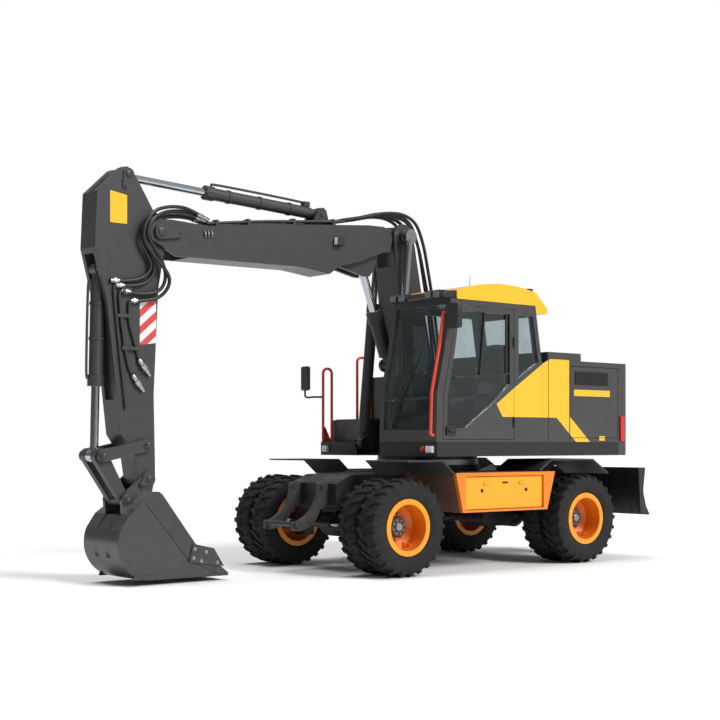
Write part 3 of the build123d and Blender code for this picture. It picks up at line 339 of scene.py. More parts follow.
chrome = simple("rod_chrome", (0.36, 0.39, 0.43), (0.5, 0.53, 0.57), 0.12, 1.0, 30.0, 0.01, rough_vary=0.06)
steel = simple("worn_steel", (0.26, 0.25, 0.24), (0.42, 0.41, 0.39), 0.45, 1.0, 45.0, 0.08)
coupler_steel = simple("zinc_steel", (0.3, 0.3, 0.3), (0.48, 0.48, 0.47), 0.32, 1.0, 60.0, 0.03)
plastic = simple("black_plastic", (0.009, 0.009, 0.0095), (0.018, 0.018, 0.019), 0.45, 0.0, 220.0, 0.2)
hose_rubber = simple("hose_rubber", (0.007, 0.007, 0.0075), (0.016, 0.016, 0.017), 0.4, 0.0, 120.0, 0.08)
lens_clear = simple("lamp_glass", (0.72, 0.74, 0.76), (0.92, 0.93, 0.94), 0.12, 0.0, 90.0, 0.15)
lens_dark = simple("dark_lens", (0.10, 0.105, 0.11), (0.2, 0.21, 0.22), 0.1, 0.0, 60.0, 0.15)
lens_red = simple("red_lens", (0.5, 0.02, 0.012), (0.68, 0.04, 0.02), 0.15, 0.0, 120.0, 0.2)
mirror_face = simple("mirror_face", (0.8, 0.82, 0.84), (0.88, 0.9, 0.91), 0.04, 1.0, 10.0, 0.0,
                     rough_vary=0.02)


def fabric_finish():
    """Woven seat cloth: a fine crossed weave over a soft change of tone."""
    finish = Finish("seat_fabric", 0.9)
    waves = []
    for direction in ("X", "Z"):
        wave = finish.add("ShaderNodeTexWave")
        wave.bands_direction = direction
        wave.inputs["Scale"].default_value = 260.0
        wave.inputs["Distortion"].default_value = 1.2
        finish.join(finish.here, wave.inputs["Vector"])
        waves.append(wave.outputs["Fac"])
    weave = finish.math("MULTIPLY", waves[0], waves[1])
    tone = finish.mix(finish.noise(8.0), (0.03, 0.03, 0.034), (0.06, 0.06, 0.066))
    tone = finish.mix(finish.math("MULTIPLY", weave, 0.5), tone, (0.12, 0.12, 0.13))
    finish.tint(tone)
    finish.shader.inputs["Sheen Weight"].default_value = 0.3
    finish.bump(weave, 0.4, 0.0008)
    return finish


seat_fabric = fabric_finish()


def glass_finish():
    """Tinted window glass: see-through, with clear reflections and faint streaks of dust."""
    finish = Finish("window_glass")
    streak = finish.noise(3.0, 3.0, 0.5, (1.0, 1.0, 0.35))
    clear = finish.add("ShaderNodeBsdfTransparent")
    finish.join(finish.mix(streak, (0.84, 0.88, 0.89), (0.76, 0.8, 0.81)), clear.inputs["Color"])
    shine = finish.add("ShaderNodeBsdfGlossy")
    finish.join(finish.mix(streak, (0.82, 0.88, 0.9), (0.62, 0.68, 0.7)), shine.inputs["Color"])
    shine.inputs["Roughness"].default_value = 0.0
    slant = finish.add("ShaderNodeLayerWeight")
    slant.inputs["Blend"].default_value = 0.5
    steep = finish.math("POWER", slant.outputs["Facing"], 3.0)
    share = finish.math("MULTIPLY_ADD", steep, 0.6, 0.07, clamp=True)
    both = finish.add("ShaderNodeMixShader")
    finish.join(share, both.inputs[0])
    finish.join(clear.outputs[0], both.inputs[1])
    finish.join(shine.outputs[0], both.inputs[2])
    finish.join(both.outputs[0], finish.output.inputs["Surface"])
    return finish


window_glass = glass_finish()


def stripe_finish():
    """The slanted red and white warning bands of a marker board."""
    finish = Finish("marker_board", 0.4)
    slant = finish.math("ADD", finish.axis(0), finish.math("MULTIPLY", finish.axis(2), 1.15))
    turn = finish.math("FRACT", finish.math("MULTIPLY", slant, 5.2))
    band = finish.math("GREATER_THAN", turn, 0.5)
    tone = finish.mix(band, (0.74, 0.74, 0.73), (0.56, 0.008, 0.012))
    tone = finish.mix(finish.math("MULTIPLY", finish.noise(30.0), 0.25), tone, (0.4, 0.38, 0.36))
    finish.tint(tone)
    finish.bump(finish.noise(200.0), 0.05, 0.0004)
    return finish


marker = stripe_finish()

# Making pieces


class Batch:
    """Many small forms on one body in one finish, gathered into one piece."""

    def __init__(self, name, finish, body, slot, bevel=0.0, smooth=38.0):
        self.name = name
        self.finish = finish
        self.body = body
        self.slot = slot
        self.bevel = bevel
        self.smooth = smooth
        self.points = []
        self.faces = []

    def mesh(self, points, faces):
        start = len(self.points)
        self.points.extend(Vector(p) for p in points)
        self.faces.extend([start + i for i in face] for face in faces)

    def box(self, x, y, z):
        low, high = at(x[0], y[0], z[0]), at(x[1], y[1], z[1])
        corners = [(a, b, c) for a in (low.x, high.x) for b in (low.y, high.y) for c in (low.z, high.z)]
        faces = [(0, 1, 3, 2), (4, 6, 7, 5), (0, 4, 5, 1), (2, 3, 7, 6), (0, 2, 6, 4), (1, 5, 7, 3)]
        if (x[1] - x[0]) * (y[1] - y[0]) * (z[1] - z[0]) < 0:
            faces = [tuple(reversed(face)) for face in faces]
        self.mesh(corners, faces)

    def plate(self, outline, y, thick):
        """A plate with this side outline of X and Z, its middle at y."""
        outline = counter_clockwise(outline)
        count = len(outline)
        points = upright(outline, y - thick / 2) + upright(outline, y + thick / 2)
        faces = [list(range(count)), list(reversed(range(count, 2 * count)))]
        faces += [(i, i + count, (i + 1) % count + count, (i + 1) % count) for i in range(count)]
        self.mesh(points, faces)

    def sweep(self, path, radii, sides=12):
        """A round tube along these points, with one radius or one for each."""
        if not hasattr(radii, "__len__"):
            radii = [radii] * len(path)
        heading = (path[1] - path[0]).normalized()
        across = heading.orthogonal().normalized()
        points = []
        for index, point in enumerate(path):
            chord = path[min(index + 1, len(path) - 1)] - path[max(index - 1, 0)]
            if chord.length > 1e-9:
                heading = chord.normalized()
            across = (across - heading * across.dot(heading)).normalized()
            other = heading.cross(across)
            for k in range(sides):
                a = 2 * math.pi * k / sides
                points.append(point + (across * math.cos(a) + other * math.sin(a)) * radii[index])
        self.mesh(points, tube_faces(len(path), sides))

    def rod(self, start, end, radius, sides=24):
        self.sweep([start, end], radius, sides)

    def hose(self, points, radius, sides=10, steps=6):
        """A hose through these points on a smooth curve."""
        padded = [2 * points[0] - points[1], *points, 2 * points[-1] - points[-2]]
        curve = []
        for i in range(1, len(padded) - 2):
            a, b, c, d = padded[i - 1:i + 3]
            for k in range(steps):
                t = k / steps
                curve.append(0.5 * (
                    2 * b + (c - a) * t + (2 * a - 5 * b + 4 * c - d) * t * t
                    + (3 * b - a - 3 * c + d) * t * t * t
                ))
        curve.append(points[-1])
        self.sweep(curve, radius, sides)

    def bolt(self, place, axis, size, height):
        """A hexagon head with its washer, standing on this point along this unit axis."""
        self.sweep([place - axis * 0.001, place + axis * height * 0.25], size * 1.25, 16)
        self.sweep([place, place + axis * height], size, 6)

    def ring_of_bolts(self, centre, axis, radius, count, size, height, phase=0.0):
        axis = Vector(axis).normalized()
        for place in circle(centre, axis, radius, count, phase):
            self.bolt(place, axis, size, height)

    def lathe(self, centre, axis, profile, sides, ring=False):
        """A turned form: profile gives pairs of place along the axis and radius, or closes on itself."""
        axis = Vector(axis).normalized()
        points = []
        for along, radius in profile:
            points += circle(centre + axis * along, axis, max(radius, LEAST_RADIUS), sides)
        self.mesh(points, tube_faces(len(profile), sides, ring))

    def object(self):
        mesh = bpy.data.meshes.new(self.name)
        mesh.from_pydata([tuple(p) for p in self.points], [], [list(face) for face in self.faces])
        mesh.validate()
        mesh.update()
        item = placed(self.name, mesh)
        mesh.materials.append(self.finish.material)
        for face in mesh.polygons:
            face.use_smooth = True
        mesh.set_sharp_from_angle(angle=math.radians(self.smooth))
        if self.bevel:
            bevel = item.modifiers.new("edges", "BEVEL")
            bevel.width = self.bevel
            bevel.segments = 2
            bevel.limit_method = "ANGLE"
            bevel.angle_limit = math.radians(40)
        return item

    def done(self):
        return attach(self.object(), self.body)

    def across(self, body, start, end):
        """The piece on its own, attached to no body, with its place baked into its mesh."""
        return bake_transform(self.object())


def block_piece(name, finish, body, slot, bevel, *boxes):
    """A piece made of plain blocks, each given by its ranges of X, Y and Z."""
    piece = Batch(name, finish, body, slot, bevel)
    for x, y, z in boxes:
        piece.box(x, y, z)
    return piece.done()


def dress(finish, *names):
    """These CAD nodes get this finish."""
    for name in names:
        slots = nodes[name].data.materials
        if not slots:
            slots.append(finish.material)
        for index in range(len(slots)):
            slots[index] = finish.material


# Finishes of the CAD pieces
dress(charcoal, "base_boom", "upper_boom", "arm", "arm_barrel", "lift_barrels", "bucket_barrel",
      "guide_links", "bucket_link")
dress(bucket_paint, "bucket")
dress(black, "carrier_frame", "front_axle", "rear_axle", "driveline", "left_knuckle", "right_knuckle",
      "blade", "blade_barrels", "upper_frame", "engine", "adjust_barrel")
dress(grey, "tool_holder", "holder_bar", "fenders")
dress(body_dark, "body_panels", "cab_shell", "cab_door", "left_service_door", "right_service_door")
dress(panel_dark, "counterweight", "engine_hood", "right_tanks")
dress(yellow, "cab_roof")
dress(lid_paint, "locker_lid")
dress(red, "handrails")
dress(chrome, "lift_rods", "adjust_rod", "arm_rod", "bucket_rod", "blade_rods", "steering_rod")
dress(steel, "slew_ring")
dress(window_glass, "cab_glass", "door_glass")
dress(plastic, "seat_base", "steering_column", "mirrors")
dress(seat_fabric, "seat")
dress(plastic, "beacon")


def step_finish():
    """Step boxes: orange sides, with a dark tread plate on top."""
    finish = Finish("step_paint", 0.4)
    tone = finish.mix(finish.noise(3.0, 4.0), (0.72, 0.17, 0.005), (0.84, 0.22, 0.006))
    inner = finish.math("LESS_THAN", finish.math("ABSOLUTE", finish.axis(1)), 1.2)
    dark = finish.mix(finish.noise(20.0), (0.05, 0.05, 0.05), (0.1, 0.1, 0.1))
    up = finish.math("GREATER_THAN", finish.facing_up(), 0.5)
    tone = finish.mix(finish.math("MULTIPLY", inner, 0.85), tone, dark)
    tone = finish.mix(up, tone, dark)
    tone = dusted(finish, tone, 0.2)
    finish.tint(tone)
    finish.bump(finish.noise(300.0, 2.0), 0.1, 0.0006, 0.004)
    return finish


dress(step_finish(), "step_boxes")


def lamp_finish():
    """The lamps' blocks: black housing above, clear in front, red behind."""
    finish = Finish("lamp_housings", 0.3)
    back = finish.math("LESS_THAN", finish.axis(0), SLEW_X - 1.5)
    high = finish.math("GREATER_THAN", finish.axis(2), 2.5)
    tone = finish.mix(finish.noise(90.0), (0.6, 0.6, 0.62), (0.85, 0.86, 0.88))
    tone = finish.mix(back, tone, (0.55, 0.025, 0.015))
    tone = finish.mix(high, tone, (0.02, 0.02, 0.022))
    finish.tint(tone)
    finish.bump(finish.noise(150.0), 0.1, 0.0008, 0.004)
    return finish


dress(lamp_finish(), "lamps")
for node in nodes:
    if node.endswith("_rims"):
        dress(rim_paint, node)

# Tyres: a turned carcass with shoulder lugs that run in to the middle
TYRE_CENTRES = (0.809, 1.131)
LUGS = 25
# The lugs' feet lie at this radius under the tread, and their tips this far out at most
LUG_FOOT = 0.495
LUG_REACH = 0.1392
# The wheel nuts stand on the rim's disc, this far from the middle, and the hub ends here
DISC_Y = 0.984
HUB_Y = 1.087
carcass = [
    (-0.104, 0.2585), (-0.106, 0.275), (-0.104, 0.306), (-0.113, 0.315), (-0.127, 0.335), (-0.136, 0.365),
    (-0.139, 0.393), (-0.1385, 0.42), (-0.135, 0.447), (-0.131, 0.467), (-0.124, 0.484), (-0.105, 0.494),
    (-0.06, 0.499), (0.0, 0.501),
]
carcass = carcass + [(-w, r) for w, r in reversed(carcass[:-1])]
# Points along a lug: place across the tyre, radius, turn in degrees, width
lug_line = [
    (0.1385, 0.447, 0.0, 0.030), (0.137, 0.478, 0.0, 0.033), (0.128, 0.507, 0.2, 0.038),
    (0.102, 0.5185, 0.9, 0.043), (0.066, 0.523, 2.0, 0.042), (0.036, 0.5245, 3.9, 0.036),
    (0.008, 0.525, 6.6, 0.030),
]


def tyre(batch, x, y):
    """A turned carcass with a row of slanted lugs at each shoulder, half a pitch apart."""
    centre = at(x, y, TYRE_RADIUS)
    batch.lathe(centre, (0, 1, 0), carcass, 96, ring=True)
    last = 4 * (len(lug_line) - 1)
    faces = [(a, a + 1, a + 5, a + 4) for a in range(last) if a % 4 < 3]
    faces += [(0, 3, 2, 1), (last, last + 1, last + 2, last + 3)]
    mirrored = [tuple(reversed(face)) for face in faces]
    for side_sign in (-1, 1):
        for k in range(LUGS):
            start = 2 * math.pi * (k + (0.5 if side_sign > 0 else 0.0)) / LUGS
            points = []
            for w, radius, shift, wide in lug_line:
                angle = start - math.radians(shift)
                foot = min(radius - 0.004, LUG_FOOT) if w < 0.13 else radius - 0.012
                for r, share in ((foot, 1.25), (radius, 0.92), (radius, -0.92), (foot, -1.25)):
                    a = angle + share * wide / 2 / radius
                    out = min(w + (0.004 if r == radius and w > 0.12 else 0.0), LUG_REACH)
                    points.append(centre + Vector((math.cos(a) * r, side_sign * out, math.sin(a) * r)))
            batch.mesh(points, mirrored if side_sign > 0 else faces)


for end_name, end_sign in {"front": 1, "rear": -1}.items():
    for side_name, side_sign in SIDES.items():
        wheel = f"{end_name}_{side_name}"
        body = f"{wheel}_wheels"
        x = end_sign * AXLE_X
        outward = (0, side_sign, 0)
        pair = Batch(f"{wheel}_tyre_pair", tyre_rubber, body, "tyre_rubber", smooth=32)
        for centre_y in TYRE_CENTRES:
            tyre(pair, x, side_sign * centre_y)
        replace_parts(pair.done(), f"{wheel}_tyres")
        nuts = Batch(f"{wheel}_wheel_nuts", steel, body, "worn_steel")
        disc = at(x, side_sign * DISC_Y, TYRE_RADIUS)
        nuts.ring_of_bolts(disc, outward, 0.152, 10, 0.014, 0.022)
        cap = at(x, side_sign * HUB_Y, TYRE_RADIUS)
        nuts.ring_of_bolts(cap, outward, 0.075, 8, 0.009, 0.01, 0.3)
        nuts.lathe(cap, outward, [(0.0, 0.045), (0.012, 0.045), (0.02, 0.036), (0.02, 0.0)], 28)
        nuts.done()
        valve = Batch(f"{wheel}_valve", orange, body, "orange_paint")
        valve.rod(at(x - 0.12, side_sign * 1.0, TYRE_RADIUS - 0.18),
                  at(x - 0.13, side_sign * 1.13, TYRE_RADIUS - 0.19), 0.009, 12)
        valve.done()

# Camera: the place and lens that the photograph gives
camera_data = bpy.data.cameras.new("camera")
camera_data.lens = 67.24
camera_data.sensor_width = 36.0
camera_data.shift_y = 0.1155
camera_data.clip_end = 200.0
camera = placed("camera", camera_data)
camera.location = at(10.778, 11.840, 1.415)
camera.rotation_euler = (math.radians(90), 0, math.radians(140.553))
bpy.context.scene.camera = camera

# Floor, world and lamps
FLOOR_REACH = 60
floor_mesh = bpy.data.meshes.new("floor")
floor_mesh.from_pydata(
    [(x * FLOOR_REACH, y * FLOOR_REACH, 0) for x, y in ((-1, -1), (1, -1), (1, 1), (-1, 1))],
    [], [(0, 1, 2, 3)],
)
floor = placed("floor", floor_mesh)
floor_finish = Finish("floor_paint", 0.9)
floor_finish.tint(floor_finish.mix(floor_finish.noise(0.6, 3.0), (0.9, 0.9, 0.9), (0.93, 0.93, 0.93)))
floor_mesh.materials.append(floor_finish.material)


def studio_world():
    """A surround that lights the part less from ahead, and is plain white where the camera sees it."""
    world = bpy.data.worlds.new("studio")
    world.use_nodes = True
    add = world.node_tree.nodes.new
    join = world.node_tree.links.new
    sky = world.node_tree.nodes["Background"]
    sky.inputs["Color"].default_value = (1.0, 1.0, 1.0, 1.0)
    heading = add("ShaderNodeSeparateXYZ")
    join(add("ShaderNodeTexCoord").outputs["Generated"], heading.inputs[0])
    ahead = add("ShaderNodeMapRange")
    for socket, value in (("From Min", -0.3), ("From Max", 0.7), ("To Min", 0.5), ("To Max", 0.12)):
        ahead.inputs[socket].default_value = value
    join(heading.outputs[0], ahead.inputs["Value"])
    rays = add("ShaderNodeLightPath")
    seen = add("ShaderNodeMath")
    seen.operation = "MAXIMUM"
    join(rays.outputs["Is Camera Ray"], seen.inputs[0])
    join(rays.outputs["Is Transmission Ray"], seen.inputs[1])
    strength = add("ShaderNodeMapRange")
    strength.inputs["To Max"].default_value = 1.0
    join(seen.outputs[0], strength.inputs["Value"])
    join(ahead.outputs["Result"], strength.inputs["To Min"])
    join(strength.outputs["Result"], sky.inputs["Strength"])
    return world


bpy.context.scene.world = studio_world()
for lamp_name, angles, energy in (("key", (54, 0, 196), 2.7), ("top", (12, 0, 60), 1.5)):
    lamp_data = bpy.data.lights.new(lamp_name, "SUN")
    lamp_data.energy = energy
    lamp_data.angle = math.radians(24)
    placed(lamp_name, lamp_data).rotation_euler = tuple(math.radians(a) for a in angles)
bpy.context.scene.view_settings.view_transform = "Standard"

# Cab: visor and its lamps, wiper, door furniture, mirrors and antenna
visor = Batch("cab_visor", plastic, "upper_body", "black_plastic", 0.008)
visor.plate([(0.69, 2.99), (0.86, 2.985), (0.885, 3.02), (0.84, 3.065), (0.69, 3.08)], CAB_Y, 0.90)
visor.done()
visor_lamps = Batch("work_lamps", lens_dark, "upper_body", "lamp_plastic")
housings = Batch("work_lamp_housings", plastic, "upper_body", "black_plastic", 0.005)
for y in (0.42, 0.56, 1.0, 1.13):
    housings.box((0.80, 0.90), (y - 0.055, y + 0.055), (2.985, 3.075))
    visor_lamps.box((0.90, 0.908), (y - 0.045, y + 0.045), (2.995, 3.065))
housings.done()
visor_lamps.done()
wiper = Batch("wiper", plastic, "upper_body", "black_plastic")
wiper.hose(route((1.01, 0.52, 1.60), (1.012, 0.60, 1.85), (0.97, 0.72, 2.2)), 0.008)
wiper.rod(at(1.008, 0.66, 1.88), at(0.905, 0.80, 2.45), 0.009, 8)
wiper.box((0.985, 1.025), (0.50, 0.55), (1.575, 1.625))
wiper.done()
block_piece("windscreen_bar", plastic, "upper_body", "black_plastic", 0.003,
            ((0.965, 0.992), (0.36, 1.18), (1.89, 1.915)))

handle = Batch("door_handle", plastic, "cab_door", "black_plastic", 0.006)
handle.box((0.72, 0.86), (1.24, 1.262), (1.50, 1.60))
handle.hose(route((0.74, 1.262, 1.55), (0.76, 1.285, 1.55), (0.82, 1.285, 1.55), (0.84, 1.262, 1.55)),
            0.011)
for z in (1.65, 2.55):
    handle.rod(at(-0.186, 1.246, z - 0.06), at(-0.186, 1.246, z + 0.06), 0.014)
handle.done()
door_trim = Batch("door_trim", plastic, "cab_door", "black_plastic", 0.003)
for ends in (
    ((0.335, 2.16), (0.26, 2.86)),
    ((0.72, 2.125), (-0.125, 2.195)),
    ((-0.075, 2.19), (-0.075, 2.87)),
):
    door_trim.sweep(upright(ends, 1.228), 0.013, 4)
door_trim.done()

mirror_heads = block_piece("mirror_heads", plastic, "upper_body", "black_plastic", 0.03,
                           ((0.785, 0.865), (1.255, 1.43), (2.65, 2.925)),
                           ((0.77, 0.815), (-1.43, -1.27), (2.06, 2.36)))
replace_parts(mirror_heads, "mirrors")
mirror_arms = Batch("mirror_arms", plastic, "upper_body", "black_plastic")
mirror_arms.hose(route((0.745, 1.2405, 2.88), (0.745, 1.30, 2.885), (0.77, 1.34, 2.885),
                       (0.815, 1.345, 2.88)), 0.012)
mirror_arms.hose(route((0.657, -1.195, 1.98), (0.76, -1.21, 1.98), (0.80, -1.33, 1.98),
                       (0.80, -1.35, 2.05), (0.80, -1.35, 2.12)), 0.012)
mirror_arms.done()
block_piece("mirror_glass", mirror_face, "upper_body", "window_glass", 0.004,
            ((0.779, 0.785), (1.272, 1.413), (2.67, 2.905)),
            ((0.764, 0.77), (-1.413, -1.287), (2.08, 2.34)))
antenna = Batch("antenna", plastic, "upper_body", "black_plastic")
antenna.sweep(route((0.27, 1.0, 3.13), (0.27, 1.0, 3.17)), 0.014)
antenna.sweep(route((0.27, 1.0, 3.165), (0.265, 1.0, 3.29)), [0.004, 0.0025], 6)
antenna.done()

# Inside the cab: seat cushions, joysticks, monitor
CHANNEL_DEPTH = 0.16
CHANNEL_WIDTH = 0.02
CUSHION_GRID = 22


def cushion(name, low, high, channels, thick_axis):
    """A crowned cushion between these corners: rounded sides, and channels sewn across its face."""
    flat = [i for i in range(3) if i != thick_axis]
    size = [high[i] - low[i] for i in range(3)]
    middle = low[thick_axis] + size[thick_axis] * 0.42
    count = CUSHION_GRID
    points, faces = [], []
    for layer in (0, 1):
        for i in range(count + 1):
            for j in range(count + 1):
                u, v = i / count, j / count
                edge = (1 - abs(2 * u - 1) ** 6) * (1 - abs(2 * v - 1) ** 6)
                sew = 1.0
                for channel in channels:
                    sew -= CHANNEL_DEPTH * math.exp(-((v - channel) / CHANNEL_WIDTH) ** 2)
                crown = edge ** 0.5 * (0.88 + 0.12 * math.sin(math.pi * u) * math.sin(math.pi * v)) * sew
                pull = 0.03 * (1 - math.sin(math.pi * u)) * (1 - math.sin(math.pi * v))
                spot = [0.0, 0.0, 0.0]
                for axis, share in zip(flat, (u, v)):
                    spot[axis] = low[axis] + size[axis] * (share * (1 - 2 * pull) + pull)
                if layer:
                    spot[thick_axis] = middle + (high[thick_axis] - middle) * crown
                else:
                    spot[thick_axis] = middle - (middle - low[thick_axis]) * edge ** 0.35
                points.append(tuple(spot))
    row = count + 1
    layer_size = row * row
    for i in range(count):
        for j in range(count):
            a = i * row + j
            faces.append((a, a + 1, a + row + 1, a + row))
            b = a + layer_size
            faces.append((b, b + row, b + row + 1, b + 1))
    border = [(0, j) for j in range(row)] + [(i, count) for i in range(1, row)]
    border += [(count, j) for j in range(count - 1, -1, -1)] + [(i, 0) for i in range(count - 1, 0, -1)]
    for (i, j), (after_i, after_j) in zip(border, border[1:] + border[:1]):
        a, b = i * row + j, after_i * row + after_j
        faces.append((a, a + layer_size, b + layer_size, b))
    mesh = bpy.data.meshes.new(name)
    mesh.from_pydata(points, [], faces)
    mesh.update()
    for face in mesh.polygons:
        face.use_smooth = True
    item = placed(name, mesh)
    mesh.materials.append(seat_fabric.material)
    soft = item.modifiers.new("soft", "SUBSURF")
    soft.levels = 1
    soft.render_levels = 1
    return item


SEAT_TOP = 1.94
seat_cushion = cushion("seat_cushion", (-0.30, -0.235, -0.13), (0.21, 0.235, 0.0), (0.3, 0.7), 2)
seat_cushion.location = at(0.0, CAB_Y, SEAT_TOP)
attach(seat_cushion, "upper_body")
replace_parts(seat_cushion, "seat")
seat_back = cushion("seat_back", (-0.105, -0.22, 0.0), (0.0, 0.22, 0.64), (0.28, 0.62), 0)
seat_back.location = at(-0.20, CAB_Y, SEAT_TOP - 0.005)
seat_back.rotation_euler = (0, math.radians(-8.5), 0)
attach(seat_back, "upper_body")
levers = Batch("levers", plastic, "upper_body", "black_plastic", 0.004)
for sign in (-1, 1):
    y = CAB_Y + sign * 0.31
    levers.sweep(route((0.24, y, 2.06), (0.25, y, 2.12), (0.255, y, 2.16)), [0.026, 0.018, 0.012], 14)
    levers.sweep(route((0.255, y, 2.15), (0.262, y, 2.20), (0.268, y, 2.25), (0.27, y, 2.265)),
                 [0.018, 0.023, 0.026, 0.016], 14)
levers.box((0.60, 0.64), (0.42, 0.62), (2.05, 2.2))
levers.done()
monitor_glass = simple("monitor_glass", (0.015, 0.02, 0.025), (0.03, 0.035, 0.04), 0.1)
block_piece("monitor_face", monitor_glass, "upper_body", "black_plastic", 0.002,
            ((0.593, 0.6), (0.435, 0.605), (2.065, 2.185)))

# Boom and arm: the pins' places as X and Z, pin caps, hoses, pipes and plates
FOOT_PIN = (0.10, 1.85)
KNEE_PIN = (0.42, 3.81)
ARM_PIN = (3.70, 3.55)
ARM_ROD_PIN = (4.04, 4.10)
GUIDE_PIN = (3.85, 1.394)
BUCKET_PIN = (3.838, 1.055)
BUCKET_LINK_PIN = (4.077, 0.845)
BUCKET_ROD_PIN = (4.345, 1.29)


def pin_caps(name, finish, body, slot, pin, half, radius):
    """A pin's end plates with their bolts, this far to each side of the boom's middle plane."""
    batch = Batch(name, finish, body, slot)
    for sign in (-1, 1):
        y = BOOM_Y + sign * half
        outward = (0, sign, 0)
        batch.lathe(at(pin[0], y, pin[1]), outward,
                    [(0, radius), (0.010, radius), (0.014, radius * 0.9), (0.014, 0.0)], 32)
        batch.ring_of_bolts(at(pin[0], y + sign * 0.013, pin[1]), outward, radius * 0.6, 3, 0.009, 0.008, 0.4)
    batch.done()


pin_caps("base_boom_caps", charcoal, "base_boom", "charcoal_paint", KNEE_PIN, 0.225, 0.08)
pin_caps("boom_foot_caps", black, "upper_body", "black_paint", FOOT_PIN, 0.24, 0.07)

HOSE_RADIUS = 0.019
HOSE_ROWS = (-0.15, -0.09, -0.03, 0.04, 0.10, 0.155)
heel = [(-0.16, 2.55), (-0.07, 3.05), (0.02, 3.45), (0.10, 3.75), (0.22, 3.98), (0.42, 4.07), (0.70, 4.06),
        (1.0, 3.99), (1.30, 3.93)]
for index, (y, grow) in enumerate(zip(HOSE_ROWS, (0.0, 0.02, -0.012, 0.026, -0.02, 0.012))):
    line = Batch(f"knee_hose_{index}", hose_rubber, "base_boom", "black_plastic")
    path = []
    for k, (x, z) in enumerate(heel):
        push = grow * math.sin(math.pi * k / (len(heel) - 1))
        path.append(at(x - push, BOOM_Y + y, z + push))
    line.hose(path, HOSE_RADIUS, 12)
    line.across("upper_boom", at(0.10, BOOM_Y, 3.70), at(0.80, BOOM_Y, 4.0))
foot = [(-0.42, 1.46), (-0.40, 1.62), (-0.32, 1.85), (-0.24, 2.1), (-0.19, 2.35), (-0.16, 2.56)]
for index, y in enumerate(HOSE_ROWS):
    line = Batch(f"foot_hose_{index}", hose_rubber, "upper_body", "black_plastic")
    line.hose(upright(foot, BOOM_Y + y), HOSE_RADIUS, 12)
    line.across("base_boom", at(-0.42, BOOM_Y, 1.55), at(-0.19, BOOM_Y, 2.35))

top_pipes = Batch("boom_top_pipes", charcoal, "upper_boom", "charcoal_paint")
pipe_line = [(1.30, 3.93), (1.36, 3.905), (2.34, 3.805), (3.05, 3.712), (3.12, 3.705)]
for y in (-0.15, -0.115, 0.115, 0.155):
    top_pipes.hose(upright(pipe_line, BOOM_Y + y), 0.015, 12, 4)
for x, z in ((1.45, 3.89), (2.0, 3.838), (2.6, 3.77), (3.0, 3.72)):
    top_pipes.box((x - 0.02, x + 0.02), (BOOM_Y - 0.18, BOOM_Y + 0.18), (z - 0.045, z - 0.008))
    for y in (-0.132, 0.135):
        top_pipes.box((x - 0.018, x + 0.018), (BOOM_Y + y - 0.04, BOOM_Y + y + 0.04), (z - 0.03, z + 0.03))
top_pipes.done()

# Arm hoses: each one's route as X and Z, from the upper boom's side to the arm's

loops = (
    ((3.10, 3.735), (3.35, 3.815), (3.515, 3.823), (3.668, 3.796), (3.796, 3.741), (3.888, 3.631),
     (3.923, 3.487), (3.854, 3.354), (3.727, 3.224), (3.633, 3.10), (3.645, 2.987), (3.738, 2.885),
     (3.90, 2.842), (4.03, 2.835)),
    ((3.10, 3.725), (3.35, 3.79), (3.52, 3.785), (3.668, 3.745), (3.80, 3.66), (3.862, 3.534), (3.80, 3.40),
     (3.69, 3.24), (3.655, 3.10), (3.70, 2.98), (3.80, 2.925), (3.95, 2.91), (4.137, 2.93)),
    ((3.10, 3.72), (3.36, 3.76), (3.60, 3.745), (3.78, 3.68), (3.895, 3.59), (3.93, 3.466), (3.885, 3.36),
     (3.82, 3.24), (3.831, 3.145), (3.92, 3.066), (4.07, 3.03), (4.26, 3.02)),
    ((3.10, 3.715), (3.38, 3.74), (3.62, 3.71), (3.80, 3.63), (3.87, 3.50), (3.84, 3.38), (3.775, 3.25),
     (3.79, 3.11), (3.88, 3.02), (4.02, 2.985), (4.20, 2.975)),
)
ARM_HOSE_RADIUS = 0.0185
# How far from the boom's middle plane each hose starts and hangs, and where all end on the arm
HOSE_STARTS = (0.155, 0.115, 0.135, 0.095)
HOSE_HANGS = (0.245, 0.215, 0.20, 0.19)
HOSE_END = 0.176


def fitting(batch, end, beyond, sleeve, nut):
    """A hose's sleeve from its end towards the next point, and the nut on it, as shares of the way."""
    batch.rod(end, end.lerp(beyond, sleeve), 0.023, 14)
    batch.rod(end.lerp(beyond, nut[0]), end.lerp(beyond, nut[1]), 0.029, 6)


hose_ends = Batch("hose_ends", coupler_steel, "upper_boom", "worn_steel")
arm_ends = Batch("arm_hose_ends", coupler_steel, "arm", "worn_steel")
for index, (loop, start_y, y) in enumerate(zip(loops, HOSE_STARTS, HOSE_HANGS)):
    line = Batch(f"arm_hose_{index}", hose_rubber, "upper_boom", "black_plastic")
    path = []
    for k, (x, z) in enumerate(loop):
        share = min(1.0, k / 4)
        inward = max(0.0, (k - len(loop) + 4) / 3)
        path.append(at(x, BOOM_Y + start_y + (y - start_y) * share - (y - HOSE_END) * inward, z))
    line.hose(path, ARM_HOSE_RADIUS, 12)
    line.across("arm", at(3.62, BOOM_Y, 3.80), at(3.72, BOOM_Y, 3.0))
    fitting(hose_ends, path[0], path[1], 0.6, (0.3, 0.38))
    fitting(arm_ends, path[-1], path[-2], 0.5, (0.2, 0.34))
for x in (3.17, 3.13, 3.09):
    rise = (3.13 - x) * 0.12
    hose_ends.rod(at(x, 0.058, 3.59 + rise), at(x, 0.085, 3.59 + rise), 0.012, 12)
    hose_ends.rod(at(x - 0.004, 0.078, 3.555 + rise), at(x + 0.006, 0.078, 3.62 + rise), 0.008, 10)
hose_ends.done()

